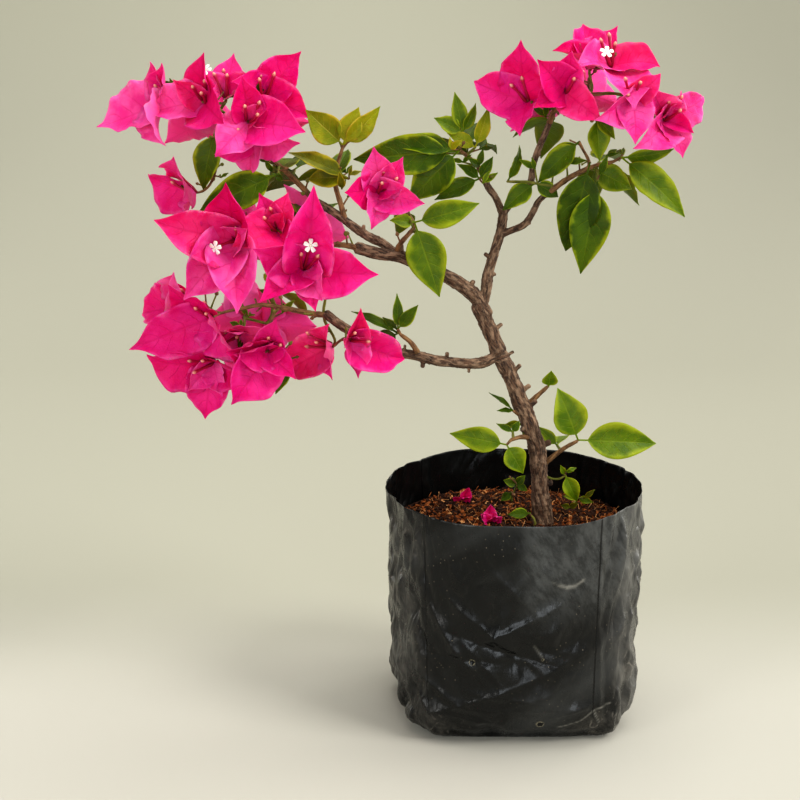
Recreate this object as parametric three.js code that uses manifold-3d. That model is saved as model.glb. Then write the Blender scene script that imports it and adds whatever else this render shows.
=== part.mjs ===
// A young bougainvillea in a black polythene grow bag.
// Millimetres, +Z up. The origin is the centre of the bag's flat underside; -Y is the plant's front.
// The trunk rises from the potting mix, leans left and forks. Boughs carry masses of bracts and leaves.
import * as THREE from "three";
import { mergeVertices } from "three/addons/utils/BufferGeometryUtils.js";
import Module from "manifold-3d";

const wasm = await Module();
wasm.setup();
const { Manifold, Mesh: SolidMesh } = wasm;

// ---- Driving dimensions -------------------------------------------------------------------------

const BAG_HEIGHT = 145;
const RIM_RISE = 4.5; // the rim stands this much higher at the back than at the front
const BAG_RIM_RADIUS = 81; // a bag of four 127 mm panels, filled until it is round
const BAG_WALL = 1.2;
const BAG_SIDES = 28;
const BASE_HALF_WIDTH = 61; // the flat square that the filled bag stands on
const MIX_TOP = 122; // the potting mix ends this far above the ground
const SEAT_GAP = 0.35; // clearance between pieces that touch
const TRUNK_BASE_RADIUS = 5.3;
const ROOT_FLARE = 1.9; // what the trunk gains at the mix
const FLARE_HEIGHT = 9;
const LIMB_STEP = 13;
const BLADE_THICKNESS = 1.1; // of the largest leaves and bracts, at the midrib

// ---- Small helpers ------------------------------------------------------------------------------

const vec = (x, y, z) => new THREE.Vector3(x, y, z);
const at = ([x, y, z]) => vec(x, y, z);
const turn = THREE.MathUtils.degToRad;
const { lerp } = THREE.MathUtils;

// Azimuth 0 faces the front (-Y), 90 the right (+X) and -90 the left; elevation is above level.
function heading(azimuth, elevation) {
  const level = Math.cos(turn(elevation));
  return vec(
    Math.sin(turn(azimuth)) * level,
    -Math.cos(turn(azimuth)) * level,
    Math.sin(turn(elevation)),
  );
}

// A repeatable number from -1 to 1 for each seed.
function wobble(seed) {
  const s = Math.sin(seed * 127.1 + 311.7) * 43758.5453;
  return 2 * (s - Math.floor(s)) - 1;
}

// A closed solid from any three.js geometry, its shared vertices merged and flat faces dropped.
// turned swaps each face's side, for a shape whose profile runs the other way.
function solidOf(geometry, turned = false) {
  const bare = new THREE.BufferGeometry().setAttribute("position", geometry.getAttribute("position"));
  if (geometry.index) bare.setIndex(geometry.index);
  const merged = mergeVertices(bare, 1e-4);
  const index = merged.index.array;
  const kept = [];
  for (let i = 0; i < index.length; i += 3) {
    const [a, b, c] = [index[i], index[i + 1], index[i + 2]];
    if (a !== b && b !== c && a !== c) kept.push(a, ...(turned ? [c, b] : [b, c]));
  }
  const vertProperties = merged.getAttribute("position").array;
  return new Manifold(new SolidMesh({ numProp: 3, vertProperties, triVerts: new Uint32Array(kept) }));
}

// The largest connected body: this fills sealed hollows and drops loose scraps.
function mainBody(solid) {
  const bodies = solid.decompose();
  return bodies.reduce((best, b) => (b.volume() > best.volume() ? b : best));
}

function geometryOf(solid) {
  const { vertProperties, triVerts } = solid.getMesh();
  const geometry = new THREE.BufferGeometry();
  geometry.setAttribute("position", new THREE.BufferAttribute(vertProperties, 3));
  geometry.setIndex(new THREE.BufferAttribute(triVerts, 1));
  geometry.computeVertexNormals();
  return geometry;
}

// ---- Materials ----------------------------------------------------------------------------------

const paint = (color, roughness) => new THREE.MeshStandardMaterial({ color, roughness, metalness: 0 });
const FILM = paint(0x26282a, 0.35);
const MIX = paint(0x4a2614, 0.95);
const BARK = paint(0x6b4a31, 0.85);
const BRACT = paint(0xe8146f, 0.6);
const LEAF = paint(0x4c6a12, 0.5);

// ---- Bag and potting mix ------------------------------------------------------------------------

// Height, half width, and how square the section is: 0 is round and 1 is the square base.
const BAG_PROFILE = [
  [0, BASE_HALF_WIDTH, 1],
  [3, BASE_HALF_WIDTH + 5, 0.9],
  [10, BASE_HALF_WIDTH + 11, 0.7],
  [26, BAG_RIM_RADIUS - 4.5, 0.45],
  [60, BAG_RIM_RADIUS - 3.5, 0.22],
  [105, BAG_RIM_RADIUS - 1.5, 0.06],
  [BAG_HEIGHT, BAG_RIM_RADIUS, 0],
];

function bagSection(height) {
  const above = BAG_PROFILE.findIndex(([z]) => z >= height);
  const [z1, r1, s1] = BAG_PROFILE[above];
  const [z0, r0, s0] = BAG_PROFILE[Math.max(above - 1, 0)];
  const share = z1 > z0 ? (height - z0) / (z1 - z0) : 1;
  return { halfWidth: lerp(r0, r1, share), squareness: lerp(s0, s1, share) };
}

// A turned shape whose round sections are squared off as the bag's are at that height.
function squaredLathe(profile, segments) {
  const geometry = new THREE.LatheGeometry(
    profile.map(([r, z]) => new THREE.Vector2(r, z)),
    segments,
  );
  const position = geometry.getAttribute("position");
  for (let i = 0; i < position.count; i++) {
    const [x, y, z] = [position.getX(i), position.getZ(i), position.getY(i)];
    const { squareness } = bagSection(Math.max(z, 0));
    const power = 2 + 2 * squareness;
    const round = Math.hypot(x, y);
    const square = (Math.abs(x) ** power + Math.abs(y) ** power) ** (1 / power);
    const stretch = square > 0 ? round / square : 1;
    const atRim = Math.max(0, (z - MIX_TOP) / (BAG_HEIGHT - MIX_TOP));
    const rise = (RIM_RISE * atRim * (1 - y / BAG_RIM_RADIUS)) / 2;
    position.setXYZ(i, x * stretch, -y * stretch, z + rise);
  }
  return geometry;
}

// The bag's heights with its half width at each, drawn in by a clearance all round.
function bagSide(heights, clearance) {
  return heights.map((z) => [bagSection(z).halfWidth - clearance, z]);
}

function growBag() {
  const heights = BAG_PROFILE.map(([z]) => z);
  const outside = bagSide(heights, 0);
  const inside = bagSide([BAG_WALL, ...heights.slice(1)], BAG_WALL).reverse();
  return solidOf(squaredLathe([[0, 0], ...outside, ...inside, [0, BAG_WALL]], BAG_SIDES));
}

// Its profile runs down, as the bag's inside does, so that both are cut into the same facets.
function pottingMix() {
  const clear = BAG_WALL + SEAT_GAP;
  const heights = BAG_PROFILE.map(([z]) => z).filter((z) => z > clear && z < MIX_TOP);
  const side = bagSide([clear, ...heights, MIX_TOP], clear).reverse();
  return solidOf(squaredLathe([[0, MIX_TOP], ...side, [0, clear]], BAG_SIDES), true);
}

// ---- Limbs --------------------------------------------------------------------------------------

// A cylinder bent along a curve. radiusAt takes the share of the length; grow makes it larger all over.
function bentCylinder(curve, radiusAt, sides, steps, grow = 0) {
  const geometry = new THREE.CylinderGeometry(1, 1, 1, sides, steps);
  const { tangents, normals, binormals } = curve.computeFrenetFrames(steps, false);
  const position = geometry.getAttribute("position");
  const p = vec(0, 0, 0);
  for (let i = 0; i < position.count; i++) {
    const step = Math.round((position.getY(i) + 0.5) * steps);
    const radius = radiusAt(step / steps) + grow;
    const past = step === 0 ? -grow : step === steps ? grow : 0;
    p.copy(curve.getPointAt(step / steps))
      .addScaledVector(tangents[step], past)
      .addScaledVector(normals[step], position.getX(i) * radius)
      .addScaledVector(binormals[step], -position.getZ(i) * radius);
    position.setXYZ(i, p.x, p.y, p.z);
  }
  return solidOf(geometry);
}

const TRUNK_FOOT = vec(18, 0, MIX_TOP + SEAT_GAP);

// Each limb: its route, its radius at root and tip. The first route starts at the trunk's foot, the
// others inside their parent. Elbows in the route are nodes where the plant was once cut back.
const LIMBS = {
  trunk: {
    route: [[18, 0, 130], [16.5, -1, 146], [14.5, -2, 168], [9, -3, 188], [2, -3, 206], [-9, -2, 230], [-17, 0, 248], [-24, 0, 264]],
    radii: [TRUNK_BASE_RADIUS, 4.6],
    sides: 12,
  },
  left_bough: {
    route: [[-19, 0, 257], [-24, 0, 266], [-33, -2, 275], [-44, -4, 282], [-58, -6, 288], [-73, -8, 295], [-86, -10, 297], [-99, -12, 301]],
    radii: [4.4, 3.3],
    sides: 10,
  },
  upper_left_bough: {
    route: [[-74, -8, 295], [-82, -6, 302], [-93, -3, 307], [-103, 0, 314], [-114, 4, 321], [-127, 8, 328]],
    radii: [2.8, 2.2],
    sides: 8,
  },
  lower_bough: {
    route: [[-6, -1, 231], [-13, -3, 231], [-20, -5, 228.5], [-31, -9, 228], [-48, -14, 231], [-67, -18, 236], [-82, -20, 240], [-96, -20, 247], [-107, -18, 253], [-118, -16, 261]],
    radii: [3.2, 2.6],
    sides: 8,
  },
  right_bough: {
    route: [[-22, 1, 262], [-20, 2, 270], [-18, 4, 282], [-14, 6, 296], [-10, 8, 310], [-9, 8, 322]],
    radii: [3.3, 2.6],
    sides: 10,
  },
  right_upper_bough: {
    route: [[-9, 8, 320], [-4, 8, 326], [2, 9, 331], [7, 10, 338], [9, 11, 350], [14, 12, 363], [19, 12, 375]],
    radii: [2.2, 1.7],
    sides: 8,
  },
  right_inner_bough: {
    route: [[-10, 8, 320], [-14, 9, 329], [-19, 10, 336], [-21, 10, 342]],
    radii: [2.2, 1.8],
    sides: 8,
  },
  right_side_bough: {
    route: [[-11, 8, 306], [-4, 5, 309], [3, 1, 313], [8, -1, 320], [12, -2, 328], [20, -3, 335]],
    radii: [2.2, 1.6],
    sides: 8,
  },
};

function limbCurve(name) {
  const foot = name === "trunk" ? [TRUNK_FOOT] : [];
  return new THREE.CatmullRomCurve3([...foot, ...LIMBS[name].route.map(at)], false, "centripetal");
}

function limbSolid(name, grow = 0) {
  const { radii, sides } = LIMBS[name];
  const curve = limbCurve(name);
  const length = curve.getLength();
  const flare = name === "trunk" ? ROOT_FLARE : 0;
  const radiusAt = (t) => lerp(radii[0], radii[1], t) + flare * Math.exp((-t * length) / FLARE_HEIGHT);
  return bentCylinder(curve, radiusAt, sides, Math.max(5, Math.round(length / LIMB_STEP)), grow);
}

// ---- Leaves and blooms --------------------------------------------------------------------------

// Stations along a leaf: share of the length, and half width as a share of the widest.
const LEAF_STATIONS = [[0, 0], [0.13, 0.09], [0.33, 0.9], [0.56, 1], [0.8, 0.6], [1, 0]];
const BRACT_STATIONS = [[0, 0], [0.25, 0.8], [0.5, 1], [0.78, 0.6], [1, 0]];

// A thin blade with sharp edges: a four-sided cylinder whose corners are the two edges, the upper
// and the lower side. droop bends it away from its face and fold lifts its edges towards the face.
function bladeSolid({ base, way, face, length, width, droop, fold, stations }) {
  const steps = stations.length - 1;
  const geometry = new THREE.CylinderGeometry(1, 1, 1, 4, steps);
  const side = vec(0, 0, 0).crossVectors(way, face);
  const rib = [base.clone()];
  for (let i = 1; i <= steps; i++) {
    const [from, to] = [stations[i - 1][0], stations[i][0]];
    const bend = (droop * (from + to)) / 2;
    const ahead = way.clone().multiplyScalar(Math.cos(bend)).addScaledVector(face, -Math.sin(bend));
    rib.push(rib[i - 1].clone().addScaledVector(ahead, (to - from) * length));
  }
  const thick = Math.max(BLADE_THICKNESS, length / 45) / 2;
  const position = geometry.getAttribute("position");
  const p = vec(0, 0, 0);
  for (let i = 0; i < position.count; i++) {
    const step = Math.round((position.getY(i) + 0.5) * steps);
    const [share, wide] = stations[step];
    const across = (position.getX(i) * wide * width) / 2;
    const up = (wide ? position.getZ(i) * thick : 0) + fold * Math.abs(across);
    const bend = droop * share;
    const lift = face.clone().multiplyScalar(Math.cos(bend)).addScaledVector(way, Math.sin(bend));
    p.copy(rib[step]).addScaledVector(side, across).addScaledVector(lift, up);
    position.setXYZ(i, p.x, p.y, p.z);
  }
  return solidOf(geometry);
}

const perpendicular = (vector, way) => vector.clone().addScaledVector(way, -vector.dot(way)).normalize();

// Rings of a bloom's rosette: how far out they are as a share of the bract, and their side.
const ROSETTE_RINGS = [[0, 0.6], [1, 0], [0, -1.2]];
const SHOULDERS = [18, 37]; // degrees to either side of a bract's midrib, seen from the heart

// How far a bract reaches at an angle from its midrib, as a share of its length.
const bractReach = (angle) => 1 - Math.min(angle, 62) / 90;

// A bract's midrib leaves the heart steeply and curls outwards: how far out and forward it has come.
const bractOut = (share) => share * (0.7 + 0.17 * share);
const bractForward = (share) => share * (0.74 - 0.26 * share);

// A bloom: three bracts round one heart, as a cupped plate whose rim runs out to three points.
function bloomSolid({ point, way, bracts }) {
  const up = perpendicular(vec(0, 0, 1), way);
  const right = vec(0, 0, 0).crossVectors(up, way);
  const rim = bracts.flatMap(([angle, length], i) => {
    const [nextAngle, nextLength] = bracts[(i + 1) % bracts.length];
    const gap = (nextAngle - angle + 720) % 360;
    const shoulders = SHOULDERS.map((shoulder) => Math.min(shoulder, (gap * shoulder) / 100));
    return [
      [angle, length],
      ...shoulders.map((s) => [angle + s, length * bractReach(s)]),
      [angle + gap / 2, Math.min(length, nextLength) * bractReach(gap / 2)],
      ...shoulders.reverse().map((s) => [angle + gap - s, nextLength * bractReach(s)]),
    ];
  });
  const size = Math.max(...bracts.map(([, length]) => length));
  const profile = ROSETTE_RINGS.map(([share]) => new THREE.Vector2(share, 0));
  const geometry = new THREE.LatheGeometry(profile, rim.length);
  const position = geometry.getAttribute("position");
  const p = vec(0, 0, 0);
  for (let i = 0; i < position.count; i++) {
    const [angle, reach] = rim[Math.floor(i / ROSETTE_RINGS.length) % rim.length];
    const [ring, sideways] = ROSETTE_RINGS[i % ROSETTE_RINGS.length];
    const share = (ring * reach) / size;
    const out = bractOut(share) * size;
    const forward = bractForward(share) * size + sideways * BLADE_THICKNESS;
    p.copy(point)
      .addScaledVector(up, Math.cos(turn(angle)) * out)
      .addScaledVector(right, Math.sin(turn(angle)) * out)
      .addScaledVector(way, forward);
    position.setXYZ(i, p.x, p.y, p.z);
  }
  return solidOf(geometry);
}

function leafSolids({ point, leaves }, seed) {
  return leaves.map(([azimuth, elevation, length, spin, share], i) => {
    const way = heading(azimuth, elevation);
    const front = Math.abs(azimuth) > 100 ? vec(0, 0.5, 1) : vec(0, -1, 0.35);
    return bladeSolid({
      base: point.clone().addScaledVector(way, -0.5),
      way,
      face: perpendicular(front, way).applyAxisAngle(way, turn(spin)),
      length,
      width: length * share,
      droop: turn(26 + 10 * wobble(seed + i)),
      fold: 0.2,
      stations: LEAF_STATIONS,
    });
  });
}

// ---- Masses of bracts and leaves ----------------------------------------------------------------

// A bloom: where its bracts join, the way it faces, and each bract as its angle round that way
// (0 is up, clockwise as seen from in front of the bloom) and its length. Three bracts make a
// flower head; four or five stand for two heads that share a place.
const bloom = (x, y, z, azimuth, elevation, ...bracts) => ({
  point: vec(x, y, z),
  way: heading(azimuth, elevation),
  bracts,
});

// A shoot: a node and its leaves. Each leaf: azimuth, elevation, length, how far its face is turned
// from the plant's front (from above on the far side), and its width as a share of its length.
const shoot = (x, y, z, ...leaves) => ({ point: vec(x, y, z), leaves });

const STEM_RADII = [1.7, 1.1];
const SLIGHT_RADII = [0.9, 0.8]; // of a seedling or a first thin shoot
const SOIL_START = MIX_TOP + SEAT_GAP + 0.1;

const MASSES = {
  top_left_blooms: {
    stem: [[-125, 8, 327], [-133, 6, 336], [-144, 2, 347], [-157, -2, 359], [-172, -6, 368]],
    tips: [
      bloom(-162, -22, 377, 5, 8, [-6, 27], [99, 38], [222, 31]),
      bloom(-161, -14, 370, 0, -30, [80, 34], [185, 26], [252, 26]),
      bloom(-188, -14, 388, -30, 15, [14, 29], [118, 40], [250, 34]),
      bloom(-212, 0, 386, -50, 15, [-8, 26], [28, 28], [145, 34], [231, 44]),
      bloom(-179, 16, 389, -5, 40, [12, 26], [85, 27], [285, 24]),
      bloom(-156, 10, 389, 25, 25, [46, 36], [132, 32], [285, 26]),
      bloom(-198, 8, 332, -60, 0, [45, 40], [170, 22], [286, 36]),
      bloom(-192, 32, 374, 200, 10, [0, 32], [125, 34], [240, 34]),
      bloom(-160, 36, 372, 165, 5, [20, 32], [140, 34], [265, 32]),
      shoot(-183, -8, 371, [-54, -69, 38, 8, 0.5], [150, 10, 28, 20, 0.5]),
      shoot(-146, -8, 345, [-74, -22, 55, -10, 0.44], [-110, -29, 29, 0, 0.6], [170, 20, 44, 10, 0.5]),
      shoot(-138, 20, 345, [150, 20, 40, 20, 0.5], [205, -15, 40, 30, 0.5]),
    ],
  },
  middle_left_blooms: {
    stem: [[-96, -12, 300], [-107, -15, 303], [-120, -18, 303], [-134, -20, 301], [-148, -20, 300]],
    tips: [
      bloom(-129, -44, 293, 5, 5, [10, 54], [96, 45], [164, 28], [238, 36], [296, 36]),
      bloom(-146, -30, 314, -5, 18, [-24, 24], [24, 24], [145, 32], [235, 34]),
      bloom(-169, -38, 309, -14, 5, [2, 40], [168, 46], [216, 46], [282, 50]),
      bloom(-166, 16, 304, 200, 5, [0, 34], [120, 36], [240, 36]),
      bloom(-136, 20, 306, 160, 10, [20, 32], [140, 30], [260, 32]),
      shoot(-132, 4, 316, [175, 20, 42, 0, 0.5], [130, 25, 30, 30, 0.5]),
    ],
  },
  lower_left_blooms: {
    stem: [[-116, -16, 260], [-127, -15, 261], [-141, -11, 263], [-157, -8, 265], [-172, -6, 262]],
    tips: [
      bloom(-187, -18, 259, -25, -12, [-36, 34], [132, 32], [200, 26], [256, 52]),
      bloom(-200, 4, 263, -60, 0, [36, 34], [160, 34], [258, 42]),
      bloom(-188, -10, 230, -15, -25, [84, 34], [188, 36], [290, 42]),
      bloom(-153, -26, 240, 5, 0, [15, 26], [132, 26], [216, 40], [279, 32]),
      bloom(-174, 2, 244, 5, -20, [60, 30], [170, 36], [300, 34]),
      bloom(-114, -14, 241, -50, -15, [39, 30], [150, 22], [243, 38]),
      bloom(-103, -34, 249, 25, -10, [5, 24], [112, 36], [180, 24]),
      bloom(-172, 24, 252, 190, -5, [0, 32], [120, 34], [240, 36]),
      bloom(-156, 20, 248, 155, -10, [30, 28], [150, 30], [270, 30]),
      shoot(-140, -14, 229, [-80, -58, 23, 10, 0.42]),
      shoot(-118, -16, 272, [-74, 61, 16, 20, 0.5], [67, 40, 20, 30, 0.3]),
      shoot(-152, 16, 270, [175, 25, 38, 0, 0.5], [130, -20, 34, 20, 0.5]),
    ],
  },
  centre_shoot: {
    stem: [[-76, -7, 296], [-72, -12, 304], [-68, -15, 309], [-64, -16, 314]],
    tips: [
      bloom(-85, -24, 336, 10, 8, [-9, 29], [33, 26], [111, 29], [198, 25], [267, 28]),
      shoot(-64, -17, 317, [57, -67, 48, 0, 0.54], [79, 15, 42, 20, 0.42], [-64, 10, 16, 0, 0.6]),
      shoot(-68, 0, 322, [150, 30, 34, 0, 0.5], [190, -25, 30, 20, 0.5]),
    ],
  },
  young_leaves: {
    stem: [[-106, 1, 315], [-109, 2, 326], [-112, 0, 338], [-111, -2, 348], [-108, -4, 358]],
    tips: [
      shoot(-107, -4, 362, [-74, 43, 31, -10, 0.64], [54, 64, 25, 0, 0.66], [75, 41, 33, 30, 0.44]),
      shoot(-104, -6, 342, [-87, 31, 40, 30, 0.36], [-90, 4, 28, 0, 0.5]),
      shoot(-112, 2, 340, [170, 45, 34, 0, 0.5], [230, 10, 30, 20, 0.5]),
    ],
  },
  inner_leaves: {
    stem: [[-20.5, 10, 340], [-25, 9, 348], [-30, 6, 353], [-36, 3, 358]],
    tips: [
      shoot(-37, 1, 358, [-80, -3, 66, -12, 0.4], [-86, 12, 46, 20, 0.36], [-76, -41, 44, 4, 0.6]),
      shoot(-35, 4, 369, [-59, 80, 25, 10, 0.44], [-72, 28, 20, 0, 0.6], [70, 58, 20, 30, 0.4]),
      shoot(-27, 4, 360, [66, 66, 26, 30, 0.4], [-68, 30, 20, 0, 0.5]),
      shoot(-24, 4, 341, [-77, -20, 31, 8, 0.42], [-80, 39, 17, 20, 0.5], [75, 60, 16, 0, 0.5]),
      shoot(-32, 18, 358, [170, 30, 46, 0, 0.5], [215, 0, 44, 20, 0.5], [140, 10, 34, 20, 0.5]),
    ],
  },
  right_blooms: {
    stem: [[18.5, 12, 374], [21, 11, 381], [28, 7, 387], [38, 4, 391], [49, 2, 392]],
    tips: [
      bloom(25, -16, 394, -6, 6, [-42, 29], [6, 27], [132, 30], [240, 24]),
      bloom(4, 0, 388, -35, 8, [6, 38], [162, 27], [284, 35]),
      bloom(42, 12, 406, 0, 60, [-3, 31], [42, 31], [270, 26]),
      bloom(53, 2, 408, 18, 38, [104, 30], [180, 42], [250, 34]),
      bloom(64, -16, 391, 8, 0, [50, 22], [184, 30], [243, 33]),
      bloom(86, 0, 377, 30, 5, [66, 30], [168, 26], [238, 36], [308, 32]),
      bloom(44, 34, 390, 180, 15, [0, 34], [120, 34], [240, 34]),
      bloom(20, 26, 382, 215, 5, [20, 26], [140, 28], [260, 26]),
      bloom(70, 26, 384, 130, 10, [10, 28], [130, 30], [250, 30]),
      shoot(43, -18, 379, [43, -77, 26, -15, 0.6], [65, -40, 18, 0, 0.5]),
      shoot(22, 20, 376, [185, -25, 40, 10, 0.5], [-120, -10, 30, 0, 0.5]),
    ],
  },
  right_leaves: {
    stem: [[18.5, -3, 334], [26, -5, 340], [34, -6, 345], [43, -6, 349], [54, -8, 352]],
    tips: [
      shoot(35, -6, 364, [-77, -39, 36, 6, 0.46], [-96, -36, 26, 0, 0.5]),
      shoot(9, -4, 339, [-78, -35, 26, 8, 0.56], [81, -25, 18, 0, 0.6]),
      shoot(-7, 7, 339, [80, 59, 25, 40, 0.34]),
      shoot(41, -12, 352, [-74, -76, 60, 0, 0.46]),
      shoot(46, -12, 341, [-54, -79, 58, 0, 0.46]),
      shoot(43, -5, 348, [76, -24, 29, 10, 0.6]),
      shoot(60, -10, 355, [66, -35, 54, -4, 0.4], [90, 2, 34, 50, 0.4]),
      shoot(50, 16, 350, [160, 10, 50, 0, 0.46], [125, -30, 46, 20, 0.46], [200, -50, 46, 0, 0.46]),
    ],
  },
  bough_shoot: {
    stem: [[-62, -20, 238], [-66, -21, 244], [-72, -22, 249]],
    tips: [
      shoot(-74, -23, 253, [0, 88, 22, 10, 0.34], [76, 50, 20, 10, 0.44]),
      shoot(-74, -22, 250, [-90, 32, 32, 30, 0.24], [-75, -25, 19, 0, 0.7]),
    ],
  },
  base_shoot_left: {
    stem: [[9, -5, 180], [3, -8, 181], [-3, -11, 180]],
    tips: [
      shoot(-6, -12, 177, [-84, 14, 37, 0, 0.46], [62, -54, 22, 0, 0.74]),
      shoot(-2, -7, 184, [-95, 30, 12, 20, 0.4], [60, 60, 9, 0, 0.6]),
      shoot(5, 5, 186, [-92, -4, 12, -15, 0.5]),
    ],
  },
  base_shoot_right: {
    stem: [[19, -2, 162], [25, -4, 168], [32, -6, 174], [38, -8, 178]],
    tips: [
      shoot(39, -8, 179, [-80, 69, 36, 0, 0.68], [85, 0, 53, 0, 0.48]),
      shoot(27, 1, 173, [-81, 47, 19, 10, 0.44], [160, 15, 32, 0, 0.5]),
    ],
  },
  trunk_stub: {
    stem: [[8, -2, 201], [14, -3, 207], [19, -4, 212]],
    tips: [shoot(20, -5, 213, [10, 60, 12, 0, 0.9])],
  },
  trunk_shoot: {
    stem: [[4, -3, 194], [-1, -6, 197]],
    tips: [shoot(-2, -6, 197.5, [-80, 46, 20, 60, 0.3], [-60, 12, 12, 40, 0.4])],
  },
  foot_shoot: {
    stem: [[20, -2, 153.5], [24, -4, 152.5], [28, -6, 153], [31, -7, 155]],
    radii: SLIGHT_RADII,
    tips: [shoot(31.5, -7, 156, [58, -59, 20, 0, 0.6], [-50, 60, 8, 0, 0.5])],
  },
  low_leaf: {
    stem: [[13, -9, SOIL_START], [13, -9, 126], [11, -7, 129]],
    radii: SLIGHT_RADII,
    tips: [shoot(10, -6, 130, [-95, 0, 15, 20, 0.55])],
  },
  rear_seedling: {
    stem: [[2, 44, SOIL_START], [2, 44, 126], [4, 43, 131], [5, 42, 134]],
    radii: SLIGHT_RADII,
    tips: [
      shoot(5, 42, 135, [-72, 22, 10, 0, 0.7], [55, 48, 9, 0, 0.7], [65, -24, 9, 0, 0.6]),
      shoot(1, 42, 129, [-60, -30, 9, 0, 0.7]),
    ],
  },
  side_seedling: {
    stem: [[44, 36, SOIL_START], [44, 36, 125], [44.5, 35, 127]],
    radii: SLIGHT_RADII,
    tips: [
      shoot(45, 34, 128, [-80, 10, 10, 0, 0.5], [72, -12, 11, 0, 0.5]),
      shoot(38, 20, 126, [-60, 20, 7, 0, 0.6], [60, 30, 7, 0, 0.6]),
    ],
  },
};

const TWIG_RADIUS = 0.95;
const STEM_STEPS = 6;
const TWIG_STEPS = 3;

// A route from a stem to a tip that leaves along the stem and arrives the way the tip faces.
function twigCurve(root, tip, tipWay, seed) {
  const reach = root.point.distanceTo(tip);
  const towards = tip.clone().sub(root.point).normalize();
  const leaving = root.way.clone().lerp(towards, 0.4).normalize();
  const leave = root.point.clone().addScaledVector(leaving, reach * 0.3);
  leave.z += wobble(seed) * reach * 0.06;
  const arrive = tip.clone().addScaledVector(tipWay ?? towards, -reach * 0.4);
  return new THREE.CubicBezierCurve3(root.point, leave, arrive, tip);
}

const jointsOf = (curve, steps) =>
  curve.getSpacedPoints(steps).map((point, i) => ({ point, way: curve.getTangentAt(i / steps) }));

function nearestJoint(joints, point) {
  const distance = (joint) => joint.point.distanceTo(point);
  return joints.reduce((best, joint) => (distance(joint) < distance(best) ? joint : best));
}

// Grows one mass from its stem. A new twig starts from the nearest point of what has grown so far.
// A twig, bloom or leaf that would touch a limb, the mix, the bag or an earlier mass is skipped.
function growMass({ stem, radii = STEM_RADII, tips }, seed, limbs, others) {
  const stemCurve = new THREE.CatmullRomCurve3(stem.map(at), false, "centripetal");
  const grown = [bentCylinder(stemCurve, (t) => lerp(...radii, t), 4, STEM_STEPS)];
  const joints = jointsOf(stemCurve, STEM_STEPS).slice(1);
  const isClear = (part) => others.every((other) => part.minGap(other, 1) > SEAT_GAP);
  tips.forEach((tip, i) => {
    const curve = twigCurve(nearestJoint(joints, tip.point), tip.point, tip.way, seed + i);
    const twig = bentCylinder(curve, () => TWIG_RADIUS, 3, TWIG_STEPS, 0.2);
    if (!isClear(twig)) return;
    grown.push(twig);
    joints.push(...jointsOf(curve, TWIG_STEPS).slice(1));
    const parts = tip.bracts ? [bloomSolid(tip)] : leafSolids(tip, seed + 10 * i);
    grown.push(...parts.filter(isClear));
  });
  return mainBody(Manifold.union(grown).subtract(Manifold.union(limbs)).simplify(0.2));
}

// ---- Fallen bracts ------------------------------------------------------------------------------

const FALLEN_BRACTS = {
  fallen_bract_front: { place: [-24, 6], azimuth: 98, size: 17 },
  fallen_bract_left: { place: [-38, 46], azimuth: 82, size: 13 },
};

function fallenBract({ place, azimuth, size }) {
  const way = heading(azimuth, 14);
  return bladeSolid({
    base: vec(...place, MIX_TOP + SEAT_GAP),
    way,
    face: perpendicular(vec(0, 0, 1), way),
    length: size,
    width: size * 0.8,
    droop: turn(20),
    fold: 0.35,
    stations: BRACT_STATIONS,
  });
}

// ---- Assembly -----------------------------------------------------------------------------------

const plant = new THREE.Group();

function addNode(name, solid, material) {
  const mesh = new THREE.Mesh(geometryOf(solid), material);
  mesh.name = name;
  plant.add(mesh);
  return solid;
}

const bag = addNode("grow_bag", growBag(), FILM);
const mix = addNode("potting_mix", pottingMix(), MIX);

const grownLimbs = [];
for (const name of Object.keys(LIMBS)) {
  const limb = grownLimbs.length ? limbSolid(name).subtract(Manifold.union(grownLimbs)) : limbSolid(name);
  addNode(name, mainBody(limb), BARK);
  grownLimbs.push(limbSolid(name, SEAT_GAP));
}

const others = [bag, mix, ...Object.keys(LIMBS).map((name) => limbSolid(name))];
Object.entries(MASSES).forEach(([name, mass], i) => {
  const leafy = mass.tips.every((tip) => tip.leaves);
  others.push(addNode(name, growMass(mass, 100 * (i + 1), grownLimbs, others), leafy ? LEAF : BRACT));
});

for (const [name, bract] of Object.entries(FALLEN_BRACTS)) addNode(name, fallenBract(bract), BRACT);

export default plant;
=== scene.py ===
# %% [markdown]
# # A young bougainvillea in its grow bag
# The real plant is a woody cutting, a year or two old, in a bag of black film filled with coir
# compost. Its trunk leans and forks, and thin boughs carry bunches of paper-like bracts.
# It could be sculpted by hand, but a plant follows rules. So each kind of part gets one function,
# and short tables say where the plant put them. Everything is one frame, in metres, with the
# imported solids, so a leaf here grows where its solid leaf is.

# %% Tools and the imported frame
import math

import bmesh
import bpy
import numpy as np
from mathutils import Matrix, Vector, noise
from mathutils.kdtree import KDTree


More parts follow.
